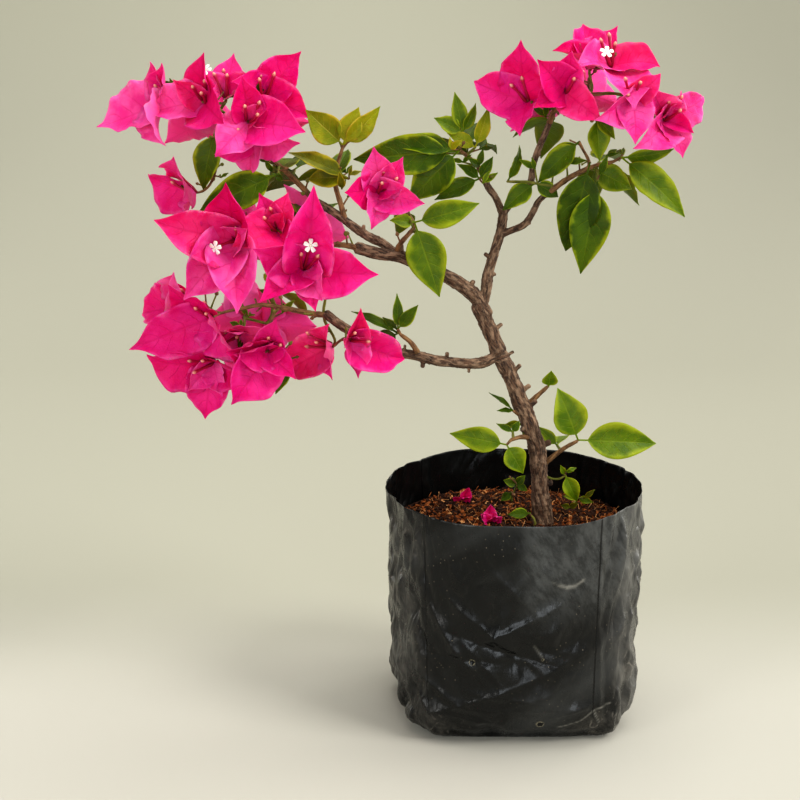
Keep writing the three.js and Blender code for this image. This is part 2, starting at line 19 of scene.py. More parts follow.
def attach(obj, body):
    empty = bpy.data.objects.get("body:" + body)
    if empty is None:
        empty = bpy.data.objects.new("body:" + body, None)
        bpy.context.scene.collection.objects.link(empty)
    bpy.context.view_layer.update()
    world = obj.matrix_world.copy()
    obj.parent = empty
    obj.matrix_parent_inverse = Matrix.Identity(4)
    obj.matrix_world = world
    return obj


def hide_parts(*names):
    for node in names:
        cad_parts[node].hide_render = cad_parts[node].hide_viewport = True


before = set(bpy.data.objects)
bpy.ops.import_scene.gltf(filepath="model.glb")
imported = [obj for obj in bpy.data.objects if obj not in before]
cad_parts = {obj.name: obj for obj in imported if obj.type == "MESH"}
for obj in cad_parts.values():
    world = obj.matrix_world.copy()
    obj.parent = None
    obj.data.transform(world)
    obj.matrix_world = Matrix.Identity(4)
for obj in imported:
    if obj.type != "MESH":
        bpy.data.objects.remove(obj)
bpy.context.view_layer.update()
MM = 0.001  # the tables below are in millimetres
print("frame:", len(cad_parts), "solids")

# %% [markdown]
# ## Directions and repeatable chance
# A grower describes a leaf by the way it points: an azimuth seen from above and an elevation above
# level. Python's random module would do for chance, but a plain formula gives the same number on
# every run, so this plant matches its imported solids.

# %% Directions and chance


def vec(*numbers):
    return np.array(numbers, dtype=float)


def unit(vector):
    return vector / max(np.linalg.norm(vector), 1e-9)


def heading(azimuth, elevation):
    """0 faces the front (-Y), 90 the right (+X), -90 the left; elevation is above level."""
    a, e = math.radians(azimuth), math.radians(elevation)
    return vec(math.sin(a) * math.cos(e), -math.cos(a) * math.cos(e), math.sin(e))


def wobble(seed):
    """A repeatable number from -1 to 1."""
    s = math.sin(seed * 127.1 + 311.7) * 43758.5453
    return 2 * (s - math.floor(s)) - 1


def perpendicular(vector, way):
    return unit(vector - np.dot(vector, way) * way)


def spun(vector, axis, degrees):
    """vector turned about axis."""
    a = math.radians(degrees)
    along = np.dot(axis, vector) * axis
    return along + (vector - along) * math.cos(a) + np.cross(axis, vector) * math.sin(a)


# %% [markdown]
# ## One mesh from many lofts
# Twigs, leaves, bracts and flowers are all lofts: rings of points, one after another. A twig's ring
# is round and a leaf's ring is flat. Adding an object for each would give a thousand objects, so a
# heap gathers the rings of one kind and makes one closed mesh of them, with a UV spot for each
# point and a material for each loft. A ring has an even number of points, so that the two ends
# close with plain quads.

# %% The heap


def placed(name, data):
    """A new object in the scene that shows a mesh, a light or a camera."""
    obj = bpy.data.objects.new(name, data)
    bpy.context.collection.objects.link(obj)
    return obj


class Heap:
    """Gathers lofts of one kind and turns them into one mesh."""

    def __init__(self):
        self.points, self.faces, self.spots, self.tints = [], [], [], []
        self.count = 0

    def loft(self, rings, spots, tint=0):
        length, ring = rings.shape[:2]
        k = np.arange(ring)
        row = np.arange(length - 1)[:, None] * ring
        ahead = (k + 1) % ring
        sides = np.stack([row + k, row + ahead, row + ring + ahead, row + ring + k], -1)
        j = np.arange(ring // 2 - 1)
        start = np.stack([j, ring - 1 - j, ring - 2 - j, j + 1], -1)
        end = start[:, ::-1] + (length - 1) * ring
        faces = np.concatenate([start, sides.reshape(-1, 4), end])
        self.points.append(rings.reshape(-1, 3))
        self.spots.append(spots.reshape(-1, 2))
        self.faces.append(faces + self.count)
        self.tints.append(np.full(len(faces), tint))
        self.count += length * ring

    def piece(self, name, finishes):
        points = np.concatenate(self.points) * MM
        faces = np.concatenate(self.faces)
        mesh = bpy.data.meshes.new(name)
        mesh.vertices.add(len(points))
        mesh.vertices.foreach_set("co", points.ravel())
        mesh.loops.add(faces.size)
        mesh.loops.foreach_set("vertex_index", faces.ravel())
        mesh.polygons.add(len(faces))
        mesh.polygons.foreach_set("loop_start", np.arange(0, faces.size, 4))
        mesh.update(calc_edges=True)
        for finish in finishes:
            mesh.materials.append(finish)
        mesh.polygons.foreach_set("material_index", np.concatenate(self.tints))
        mesh.polygons.foreach_set("use_smooth", np.ones(len(faces), dtype=bool))
        layer = mesh.uv_layers.new(name="spot")
        layer.data.foreach_set("uv", np.concatenate(self.spots)[faces.ravel()].ravel())
        mesh.validate()
        return placed(name, mesh)


def finished(obj, slot, *nodes):
    """Rides a piece on the plant's one body and lets it stand for its solids."""
    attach(obj, "root")
    if nodes:
        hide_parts(*nodes)
    print(obj.name, len(obj.data.polygons), "faces")
    return obj


# %% [markdown]
# ## Finishes
# A finish here is a small tree of nodes. Building each tree by hand takes many lines, so a helper
# adds a node, sets or links its inputs and returns it. Nothing is painted from an image: veins,
# bark and dust come from formulas that follow the piece's own UV spots or its object coordinates.

# %% A helper for finishes


class Finish:
    """A material with short calls that add nodes to it."""

    def __init__(self, name, **sockets):
        self.material = bpy.data.materials.new(name)
        self.material.use_nodes = True
        self.tree = self.material.node_tree
        self.shader = self.tree.nodes["Principled BSDF"]
        self.set(**sockets)

    def set(self, **sockets):
        for name, value in sockets.items():
            self.feed(self.shader.inputs[name.replace("_", " ")], value)

    def feed(self, socket, value):
        if isinstance(value, bpy.types.NodeSocket):
            self.tree.links.new(value, socket)
        elif socket.type == "RGBA" and len(value) == 3:
            socket.default_value = (*value, 1)
        else:
            socket.default_value = value

    def node(self, kind, inputs, **settings):
        made = self.tree.nodes.new("ShaderNode" + kind)
        for name, value in settings.items():
            setattr(made, name, value)
        for key, value in inputs.items():
            self.feed(made.inputs[key], value)
        return made

    def math(self, operation, *values):
        return self.node("Math", dict(enumerate(values)), operation=operation).outputs[0]

    def times(self, first, *rest):
        for value in rest:
            first = self.math("MULTIPLY", first, value)
        return first

    def plus(self, first, *rest):
        for value in rest:
            first = self.math("ADD", first, value)
        return first

    def minus(self, first, second):
        return self.math("SUBTRACT", first, second)

    def size_of(self, value):
        """value without its sign."""
        return self.math("ABSOLUTE", value)

    def ramp(self, value, low, high, to=(0.0, 1.0)):
        """value between low and high, smoothed and mapped to a new range."""
        inputs = {"Value": value, "From Min": low, "From Max": high, "To Min": to[0], "To Max": to[1]}
        return self.node("MapRange", inputs, interpolation_type="SMOOTHSTEP").outputs[0]

    def mix(self, share, first, second):
        made = self.node("Mix", {}, data_type="RGBA")
        self.feed(made.inputs["Factor"], share)
        self.feed(made.inputs[6], first)
        self.feed(made.inputs[7], second)
        return made.outputs[2]

    def noise(self, place, scale, detail=3.0, roughness=0.55):
        inputs = {"Vector": place, "Scale": scale, "Detail": detail, "Roughness": roughness}
        return self.node("TexNoise", inputs).outputs["Fac"]

    def place(self):
        return self.node("TexCoord", {}).outputs["Object"]

    def spot(self):
        uv = self.node("UVMap", {}, uv_map="spot").outputs[0]
        return self.node("SeparateXYZ", {0: uv}).outputs

    def bump(self, height, distance, strength=1.0):
        inputs = {"Height": height, "Distance": distance, "Strength": strength}
        self.set(Normal=self.node("Bump", inputs).outputs[0])


def stretched(finish, place, scale):
    return finish.node("Mapping", {"Vector": place, "Scale": scale}).outputs[0]


# %% [markdown]
# ## Leaf and bract finishes
# A bougainvillea leaf is satin green, paler underneath, with a light midrib, arching side veins and
# often a yellowish edge. A bract is a leaf that turned to coloured paper, so both share one recipe.
# The UV spot holds the way across (0 to 1 above, 1 to 2 below) and the way along the blade. Veins
# are lines of equal "along minus across", repeated. Light passes through thin blades, and a little
# subsurface scattering gives that glow without any transparency.

# %% The blade recipe


def blade_finish(name, body, light, vein, edge, back, veins=7.0, edge_from=0.86, glow=0.12, sheen=0.15,
                 veined=0.45):
    finish = Finish(name, Roughness=0.42, Specular_IOR_Level=sheen)
    finish.set(Subsurface_Weight=glow, Subsurface_Scale=0.0012, Subsurface_Radius=(1.0, 0.45, 0.3))
    across, along, _ = finish.spot()
    below = finish.math("GREATER_THAN", across, 1.0)
    off_rib = finish.times(finish.size_of(finish.minus(finish.math("FRACT", across), 0.5)), 2.0)
    arch = finish.math("POWER", off_rib, 1.4)
    swept = finish.minus(finish.times(along, veins), finish.times(arch, 1.5))
    swept = finish.plus(swept, finish.times(finish.noise(finish.place(), 260.0, 1.0), 0.28))
    line = finish.size_of(finish.minus(finish.math("FRACT", swept), 0.5))
    side_vein = finish.times(finish.ramp(line, 0.43, 0.5), finish.ramp(off_rib, 0.95, 0.3))
    ribs = finish.math("MAXIMUM", finish.ramp(off_rib, 0.09, 0.0), side_vein)
    net = finish.node("TexVoronoi", {"Vector": finish.place(), "Scale": 620.0}, feature="DISTANCE_TO_EDGE")
    patch = finish.noise(finish.place(), 90.0)
    rim = finish.plus(off_rib, finish.times(finish.minus(patch, 0.5), 0.9))
    colour = finish.mix(finish.ramp(patch, 0.35, 0.65), body, light)
    colour = finish.mix(finish.times(ribs, veined), colour, vein)
    colour = finish.mix(finish.ramp(rim, edge_from, 1.02, (0.0, 0.9)), colour, edge)
    finish.set(Base_Color=finish.mix(finish.times(below, 0.7), colour, back))
    cells = finish.times(finish.ramp(net.outputs["Distance"], 0.0, 0.25), 0.25)
    finish.bump(finish.minus(finish.plus(cells, finish.times(patch, 0.6)), ribs), 0.0004, 0.6)
    return finish.material


# %% Leaves: five greens, dealt out by shoot
LEAF_COLOURS = {  # where the edge's colour starts, then body, light patches, veins, edge and underside
    "leaf_deep": (0.86, (0.024, 0.05, 0), (0.044, 0.084, 0), (0.1, 0.15, 0.004), (0.19, 0.25, 0.004),
                  (0.07, 0.11, 0.004)),
    "leaf_mid": (0.72, (0.035, 0.074, 0), (0.068, 0.122, 0), (0.13, 0.19, 0.006), (0.27, 0.33, 0.006),
                 (0.11, 0.16, 0.006)),
    "leaf_fresh": (0.45, (0.058, 0.112, 0), (0.105, 0.165, 0.001), (0.18, 0.24, 0.01), (0.26, 0.31, 0.008),
                   (0.16, 0.21, 0.01)),
    "leaf_young": (0.86, (0.16, 0.2, 0.001), (0.29, 0.3, 0.006), (0.42, 0.38, 0.04), (0.46, 0.36, 0.03),
                   (0.36, 0.33, 0.03)),
    "leaf_olive": (0.6, (0.07, 0.085, 0), (0.14, 0.145, 0.001), (0.2, 0.19, 0.01), (0.36, 0.3, 0.01),
                   (0.18, 0.16, 0.01)),
}
LEAVES = [blade_finish(name, *colours, edge_from=start) for name, (start, *colours) in LEAF_COLOURS.items()]
DEEP, MID, FRESH, YOUNG, OLIVE = range(len(LEAVES))

# %% Bracts: four magentas, dealt out by bract; bract_bright and bract_deep are lit and shaded copies of bract_mid, painted light and shade
BRACT_COLOURS = {
    "bract_mid": ((0.69, 0.004, 0.175), (0.77, 0.022, 0.24), (0.54, 0, 0.095), (0.82, 0.055, 0.285),
                  (0.83, 0.07, 0.31)),
    "bract_bright": ((0.77, 0.028, 0.25), (0.86, 0.085, 0.345), (0.64, 0.004, 0.14), (0.9, 0.115, 0.385),
                     (0.9, 0.125, 0.41)),
    "bract_deep": ((0.62, 0.0015, 0.125), (0.71, 0.008, 0.175), (0.45, 0, 0.065), (0.75, 0.025, 0.23),
                   (0.74, 0.028, 0.235)),
    "bract_rose": ((0.73, 0.01, 0.155), (0.81, 0.038, 0.22), (0.57, 0, 0.08), (0.85, 0.065, 0.255),
                   (0.85, 0.07, 0.265)),
}
PAPER = {"veins": 6.0, "edge_from": 0.8, "glow": 0.3, "sheen": 0.12, "veined": 0.32}
BRACTS = [blade_finish(name, *colours, **PAPER) for name, colours in BRACT_COLOURS.items()]
PLAIN, BRIGHT, DARK, ROSE = range(len(BRACTS))
print(len(LEAVES) + len(BRACTS), "blade finishes")

# %% [markdown]
# ## Bark, twig and flower finishes
# Young bougainvillea bark is brown with grey-tan ridges that run along the limb and small pale
# pores. Noise that is stretched along the limb gives the ridges, so the limb's UV spot holds
# millimetres along and around it.

# %% Bark and twigs


def bark_finish(name, dark, mid, pale, depth):
    finish = Finish(name, Roughness=0.82)
    uv = finish.node("UVMap", {}, uv_map="spot").outputs[0]
    ridges = finish.noise(stretched(finish, uv, (0.2, 1.0, 1.0)), 1.0, 6.0, 0.66)
    flakes = finish.noise(stretched(finish, uv, (0.12, 0.36, 1.0)), 1.0, 5.0, 0.6)
    pores = finish.node("TexVoronoi", {"Vector": stretched(finish, uv, (0.5, 0.75, 1.0)), "Scale": 1.0})
    pore = finish.ramp(pores.outputs["Distance"], 0.2, 0.08)
    colour = finish.mix(finish.ramp(ridges, 0.36, 0.62), dark, mid)
    colour = finish.mix(finish.times(finish.ramp(flakes, 0.46, 0.62), 0.52), colour, pale)
    finish.set(Base_Color=finish.mix(finish.times(pore, 0.5), colour, pale))
    finish.bump(finish.plus(ridges, finish.times(flakes, 0.5), pore), depth)
    return finish.material


bark = bark_finish("bark", (0.018, 0.008, 0.004), (0.125, 0.063, 0.032), (0.43, 0.28, 0.175), 0.0011)
twig_brown = bark_finish("twig_brown", (0.07, 0.03, 0.01), (0.22, 0.11, 0.04), (0.38, 0.21, 0.08), 0.0003)
twig_green = bark_finish("twig_green", (0.07, 0.08, 0.004), (0.15, 0.16, 0.012), (0.26, 0.21, 0.04), 0.0002)
TWIGS = [twig_brown, twig_green]
BROWN, GREEN = range(len(TWIGS))

# %% Flower tube and star


def tube_finish():
    """Dark crimson, and pale only at the mouth."""
    finish = Finish("flower_tube", Roughness=0.5, Subsurface_Weight=0.2, Subsurface_Scale=0.001)
    _, along, _ = finish.spot()
    colour = finish.mix(finish.ramp(along, 0.0, 0.7), (0.25, 0.003, 0.026), (0.42, 0.007, 0.058))
    finish.set(Base_Color=finish.mix(finish.ramp(along, 0.84, 1.0), colour, (0.82, 0.42, 0.3)))
    finish.bump(finish.noise(finish.place(), 900.0), 0.0002, 0.5)
    return finish.material


def star_finish():
    finish = Finish("flower_star", Roughness=0.45, Subsurface_Weight=0.25, Subsurface_Scale=0.001)
    across, along, _ = finish.spot()
    centred = finish.size_of(finish.minus(finish.math("FRACT", across), 0.5))
    cream = finish.mix(finish.ramp(along, 0.05, 0.3), (0.5, 0.42, 0.07), (0.95, 0.93, 0.86))
    finish.set(Base_Color=finish.mix(finish.ramp(centred, 0.08, 0.0), cream, (0.8, 0.74, 0.5)))
    finish.bump(finish.noise(finish.place(), 1500.0), 0.0001, 0.4)
    return finish.material


FLOWERS = [tube_finish(), star_finish()]
TUBE, STAR = range(len(FLOWERS))
print("bark, twig and flower finishes made")

# %% [markdown]
# ## Tubes and blades
# A twig could be a curve with a bevel, but a curve can't swell at its nodes. Here a tube is rings
# along a route, each turned as little as it can be from the last. A blade is one flat ring after
# another: up one side, over the edge and back underneath, so it is a thin closed solid like a
# real leaf. Its edge ruffles, its sides cup or fold about the midrib, and its tip droops.

# %% Tubes


def bezier(start, leave, arrive, end, steps):
    t = np.linspace(0, 1, steps + 1)[:, None]
    u = 1 - t
    return u**3 * start + 3 * u * u * t * leave + 3 * u * t * t * arrive + t**3 * end


def walked_along(route):
    """How far each point of a route is from its start."""
    return np.concatenate([[0], np.cumsum(np.linalg.norm(np.diff(route, axis=0), axis=1))])


def between(t, low, high, first, second):
    """first at low, second at high and a mix of them on the way."""
    return (high - t) / (high - low) * first + (t - low) / (high - low) * second


def smooth_route(points, spacing):
    """A centripetal Catmull-Rom curve through the points, as evenly spaced points."""
    p = [vec(*q) for q in points]
    p = [2 * p[0] - p[1], *p, 2 * p[-1] - p[-2]]
    dense = []
    for four in zip(p, p[1:], p[2:], p[3:]):
        k = [0.0]
        for a, b in zip(four, four[1:]):
            k.append(k[-1] + max(np.linalg.norm(b - a), 1e-6) ** 0.5)
        for t in np.linspace(k[1], k[2], 12, endpoint=False):
            a = [between(t, k[i], k[i + 1], four[i], four[i + 1]) for i in range(3)]
            b = [between(t, k[i], k[i + 2], a[i], a[i + 1]) for i in range(2)]
            dense.append(between(t, k[1], k[2], *b))
    dense = np.array([*dense, p[-2]])
    walked = walked_along(dense)
    places = np.linspace(0, walked[-1], max(int(walked[-1] / spacing), 3) + 1)
    return np.stack([np.interp(places, walked, dense[:, i]) for i in range(3)], -1)


def frames(route):
    """Tangents and two cross directions, carried along without twist."""
    tangents = np.gradient(route, axis=0)
    tangents /= np.linalg.norm(tangents, axis=1)[:, None] + 1e-12
    helper = vec(0, 0, 1) if abs(tangents[0][2]) < 0.9 else vec(1, 0, 0)
    across = [perpendicular(helper, tangents[0])]
    for tangent in tangents[1:]:
        across.append(perpendicular(across[-1], tangent))
    across = np.array(across)
    return tangents, across, np.cross(tangents, across)


def rings_round(route, first, second, angle, radii):
    turn = first[:, None] * np.cos(angle)[:, None] + second[:, None] * np.sin(angle)[:, None]
    return route[:, None] + turn * radii[..., None]


def tube(heap, route, radii, sides=8, tint=0, close=0.6):
    """Rings along a route. The ends are drawn in by close, so that they look rounded."""
    tangents, first, second = frames(route)
    radii = np.broadcast_to(radii, len(route)).astype(float)
    start = route[0] - tangents[0] * radii[0] * 0.3
    end = route[-1] + tangents[-1] * radii[-1] * close * 0.8
    route = np.concatenate([[start], route, [end]])
    radii = np.concatenate([[radii[0] * 0.7], radii, [radii[-1] * (1 - close)]])
    first = first[[0, *range(len(first)), -1]]
    second = second[[0, *range(len(second)), -1]]
    angle = np.linspace(0, 2 * np.pi, sides, endpoint=False)
    rings = rings_round(route, first, second, angle, radii[:, None])
    spots = np.stack(np.broadcast_arrays(walked_along(route)[:, None], angle * radii.mean()), -1)
    heap.loft(rings, spots, tint)


# %% Blades


def blade(heap, base, way, face, length, width, outline, seed, tint, droop, fold, across, thick, rows=20,
          cup=0.0, ruffle=0.02, twist=0.0, curl=0.0, stalk=0.0):
    """A thin closed blade that grows from base along way, with its upper side towards face."""
    side = np.cross(way, face)
    t = np.linspace(0, 1, rows + 1)
    bend = (droop * t + curl * t**4)[:, None]
    ahead = way * np.cos(bend) - face * np.sin(bend)
    lift = face * np.cos(bend) + way * np.sin(bend)
    steps = (ahead[1:] + ahead[:-1]) / 2 * length / rows
    rib = base + np.concatenate([np.zeros((1, 3)), np.cumsum(steps, axis=0)])
    roll = (twist * t)[:, None]
    sides = side * np.cos(roll) + lift * np.sin(roll)
    lift = lift * np.cos(roll) - side * np.sin(roll)
    half = width / 2 * outline(t)
    body = np.full(rows + 1, thick)
    if stalk:
        on_stalk = t < stalk
        half = np.where(on_stalk, 0.55, np.maximum(half, 0.3))
        body = np.where(on_stalk, 1.0, thick)
    half = np.maximum(half, 0.08)
    c = np.linspace(-1, 1, across + 1)
    away = np.abs(c)
    waves = 2.2 + wobble(seed + 0.3)
    phase = 6 * wobble(seed + 0.7)
    ripple = np.sin(2 * np.pi * waves * t[:, None] + phase + 1.3 * np.sign(c))
    ripple += 0.45 * np.sin(2 * np.pi * 2.3 * waves * t[:, None] + 2 * phase - 0.8 * np.sign(c))
    rise = half[:, None] * (fold * away + cup * c**2)
    rise = rise + ruffle * length * ripple * away**2.2 * np.sin(np.pi * t)[:, None]
    narrow = 1 - 0.25 * min(abs(fold) + abs(cup), 1.0)
    top = rib[:, None] + sides[:, None] * (c * half[:, None] * narrow)[..., None]
    top = top + lift[:, None] * rise[..., None]
    skin = (body[:, None] * (1 - 0.5 * away**3) / 2)[..., None] * lift[:, None]
    rings = np.concatenate([top + skin, (top - skin)[:, ::-1]], axis=1)
    u = 0.002 + 0.498 * (c + 1)
    spots_u = np.concatenate([u, 2 - u[::-1]])
    spots = np.stack(np.broadcast_arrays(spots_u[None, :], t[:, None]), -1)
    heap.loft(rings, spots, tint)


LEAF_STALK = 0.13  # as a share of the leaf's length


def leaf_outline(t):
    """Half width of a leaf: a short stalk, widest at two fifths, then a drawn-out tip."""
    s = np.clip((t - LEAF_STALK) / (1 - LEAF_STALK), 0, 1)
    return np.sin(np.pi * s**0.7) ** 0.95 * (1 - 0.18 * s**3)


def bract_outline(t):
    """Half width of a bract: a round, heart-shaped foot and a drawn-out tip."""
    taper = np.clip((t - 0.62) / 0.38, 0, 1)
    return np.sin(np.pi * t**0.62) ** 0.6 * (1 - 0.74 * taper**2 * (3 - 2 * taper))


# %% [markdown]
# ## Where the plant put its parts
# These are the same routes and tables as the solids': the limbs' routes with their radii, and for
# each mass its stem, its blooms and its shoots. A bloom is a place, the way it faces and its bracts
# by angle and length. A shoot is a node and its leaves.

# %% Limbs
LIMBS = {  # each one's route, then its radius at the foot and at the tip
    "trunk": (
        [(18, 0, 119), (18, 0, 130), (16.5, -1, 146), (14.5, -2, 168), (9, -3, 188), (2, -3, 206),
         (-9, -2, 230), (-17, 0, 248), (-24, 0, 264)],
        (5.3, 4.6),
    ),
    "left_bough": (
        [(-19, 0, 257), (-24, 0, 266), (-33, -2, 275), (-44, -4, 282), (-58, -6, 288), (-73, -8, 295),
         (-86, -10, 297), (-99, -12, 301)],
        (4.4, 3.3),
    ),
    "upper_left_bough": (
        [(-74, -8, 295), (-82, -6, 302), (-93, -3, 307), (-103, 0, 314), (-114, 4, 321), (-127, 8, 328)],
        (2.8, 2.2),
    ),
    "lower_bough": (
        [(-6, -1, 231), (-13, -3, 231), (-20, -5, 228.5), (-31, -9, 228), (-48, -14, 231), (-67, -18, 236),
         (-82, -20, 240), (-96, -20, 247), (-107, -18, 253), (-118, -16, 261)],
        (3.2, 2.6),
    ),
    "right_bough": (
        [(-22, 1, 262), (-20, 2, 270), (-18, 4, 282), (-14, 6, 296), (-10, 8, 310), (-9, 8, 322)],
        (3.3, 2.6),
    ),
    "right_upper_bough": (
        [(-9, 8, 320), (-4, 8, 326), (2, 9, 331), (7, 10, 338), (9, 11, 350), (14, 12, 363), (19, 12, 375)],
        (2.2, 1.7),
    ),
    "right_inner_bough": ([(-10, 8, 320), (-14, 9, 329), (-19, 10, 336), (-21, 10, 342)], (2.2, 1.8)),
    "right_side_bough": (
        [(-11, 8, 306), (-4, 5, 309), (3, 1, 313), (8, -1, 320), (12, -2, 328), (20, -3, 335)],
        (2.2, 1.6),
    ),
}

# %% How a mass is written down


def bloom(x, y, z, azimuth, elevation, *bracts):
    """Its bracts: angle round the way it faces, 0 at the top, and length."""
    return {"point": vec(x, y, z), "way": heading(azimuth, elevation), "bracts": bracts}


def shoot(x, y, z, *leaves):
    """Its leaves: azimuth, elevation, length, spin and width as a share of the length."""
    return {"point": vec(x, y, z), "leaves": leaves}


def mass_of(stem, greens, *tips):
    """The greens are dealt in turn to its shoots."""
    return {"stem": stem, "greens": greens, "tips": tips}


# %% Masses at the left and in the centre
MASSES = {
    "top_left_blooms": mass_of(
        [(-125, 8, 327), (-133, 6, 336), (-144, 2, 347), (-157, -2, 359), (-172, -6, 368)],
        (DEEP, MID, OLIVE, MID, OLIVE, MID, DEEP, MID, MID, MID, MID, DEEP),
        bloom(-162, -22, 377, 5, 8, (-6, 27), (99, 38), (222, 31)),
        bloom(-161, -14, 370, 0, -30, (80, 34), (185, 26), (252, 26)),
        bloom(-188, -14, 388, -30, 15, (14, 29), (118, 40), (250, 34)),
        bloom(-212, 0, 386, -50, 15, (-8, 26), (28, 28), (145, 34), (231, 44)),
        bloom(-179, 16, 389, -5, 40, (12, 26), (85, 27), (285, 24)),
        bloom(-156, 10, 389, 25, 25, (46, 36), (132, 32), (285, 26)),
        bloom(-198, 8, 332, -60, 0, (45, 40), (170, 22), (286, 36)),
        bloom(-192, 32, 374, 200, 10, (0, 32), (125, 34), (240, 34)),
        bloom(-160, 36, 372, 165, 5, (20, 32), (140, 34), (265, 32)),
        shoot(-183, -8, 371, (-54, -69, 38, 8, 0.5), (150, 10, 28, 20, 0.5)),
        shoot(-146, -8, 345, (-74, -22, 55, -10, 0.44), (-110, -29, 29, 0, 0.6), (170, 20, 44, 10, 0.5)),
        shoot(-138, 20, 345, (150, 20, 40, 20, 0.5), (205, -15, 40, 30, 0.5)),
    ),
    "middle_left_blooms": mass_of(
        [(-96, -12, 300), (-107, -15, 303), (-120, -18, 303), (-134, -20, 301), (-148, -20, 300)],
        (DEEP, MID),
        bloom(-129, -44, 293, 5, 5, (10, 54), (96, 45), (164, 28), (238, 36), (296, 36)),
        bloom(-146, -30, 314, -5, 18, (-24, 24), (24, 24), (145, 32), (235, 34)),
        bloom(-169, -38, 309, -14, 5, (2, 40), (168, 46), (216, 46), (282, 50)),
        bloom(-166, 16, 304, 200, 5, (0, 34), (120, 36), (240, 36)),
        bloom(-136, 20, 306, 160, 10, (20, 32), (140, 30), (260, 32)),
        shoot(-132, 4, 316, (175, 20, 42, 0, 0.5), (130, 25, 30, 30, 0.5)),
    ),
    "lower_left_blooms": mass_of(
        [(-116, -16, 260), (-127, -15, 261), (-141, -11, 263), (-157, -8, 265), (-172, -6, 262)],
        (MID, DEEP, FRESH),
        bloom(-187, -18, 259, -25, -12, (-36, 34), (132, 32), (200, 26), (256, 52)),
        bloom(-200, 4, 263, -60, 0, (36, 34), (160, 34), (258, 42)),
        bloom(-188, -10, 230, -15, -25, (84, 34), (188, 36), (290, 42)),
        bloom(-153, -26, 240, 5, 0, (15, 26), (132, 26), (216, 40), (279, 32)),
        bloom(-174, 2, 244, 5, -20, (60, 30), (170, 36), (300, 34)),
        bloom(-114, -14, 241, -50, -15, (39, 30), (150, 22), (243, 38)),
        bloom(-103, -34, 249, 25, -10, (5, 24), (112, 36), (180, 24)),
        bloom(-172, 24, 252, 190, -5, (0, 32), (120, 34), (240, 36)),
        bloom(-156, 20, 248, 155, -10, (30, 28), (150, 30), (270, 30)),
        shoot(-140, -14, 229, (-80, -58, 23, 10, 0.42)),
        shoot(-118, -16, 272, (-74, 61, 16, 20, 0.5), (67, 40, 20, 30, 0.3)),
        shoot(-152, 16, 270, (175, 25, 38, 0, 0.5), (130, -20, 34, 20, 0.5)),
    ),
    "centre_shoot": mass_of(
        [(-76, -7, 296), (-72, -12, 304), (-68, -15, 309), (-64, -16, 314)], (MID, FRESH),
        bloom(-85, -24, 336, 10, 8, (-9, 29), (33, 26), (111, 29), (198, 25), (267, 28)),
        shoot(-64, -17, 317, (57, -67, 48, 0, 0.54), (79, 15, 42, 20, 0.42), (-64, 10, 16, 0, 0.6)),
        shoot(-68, 0, 322, (150, 30, 34, 0, 0.5), (190, -25, 30, 20, 0.5)),
    ),
}
print(len(MASSES), "masses")

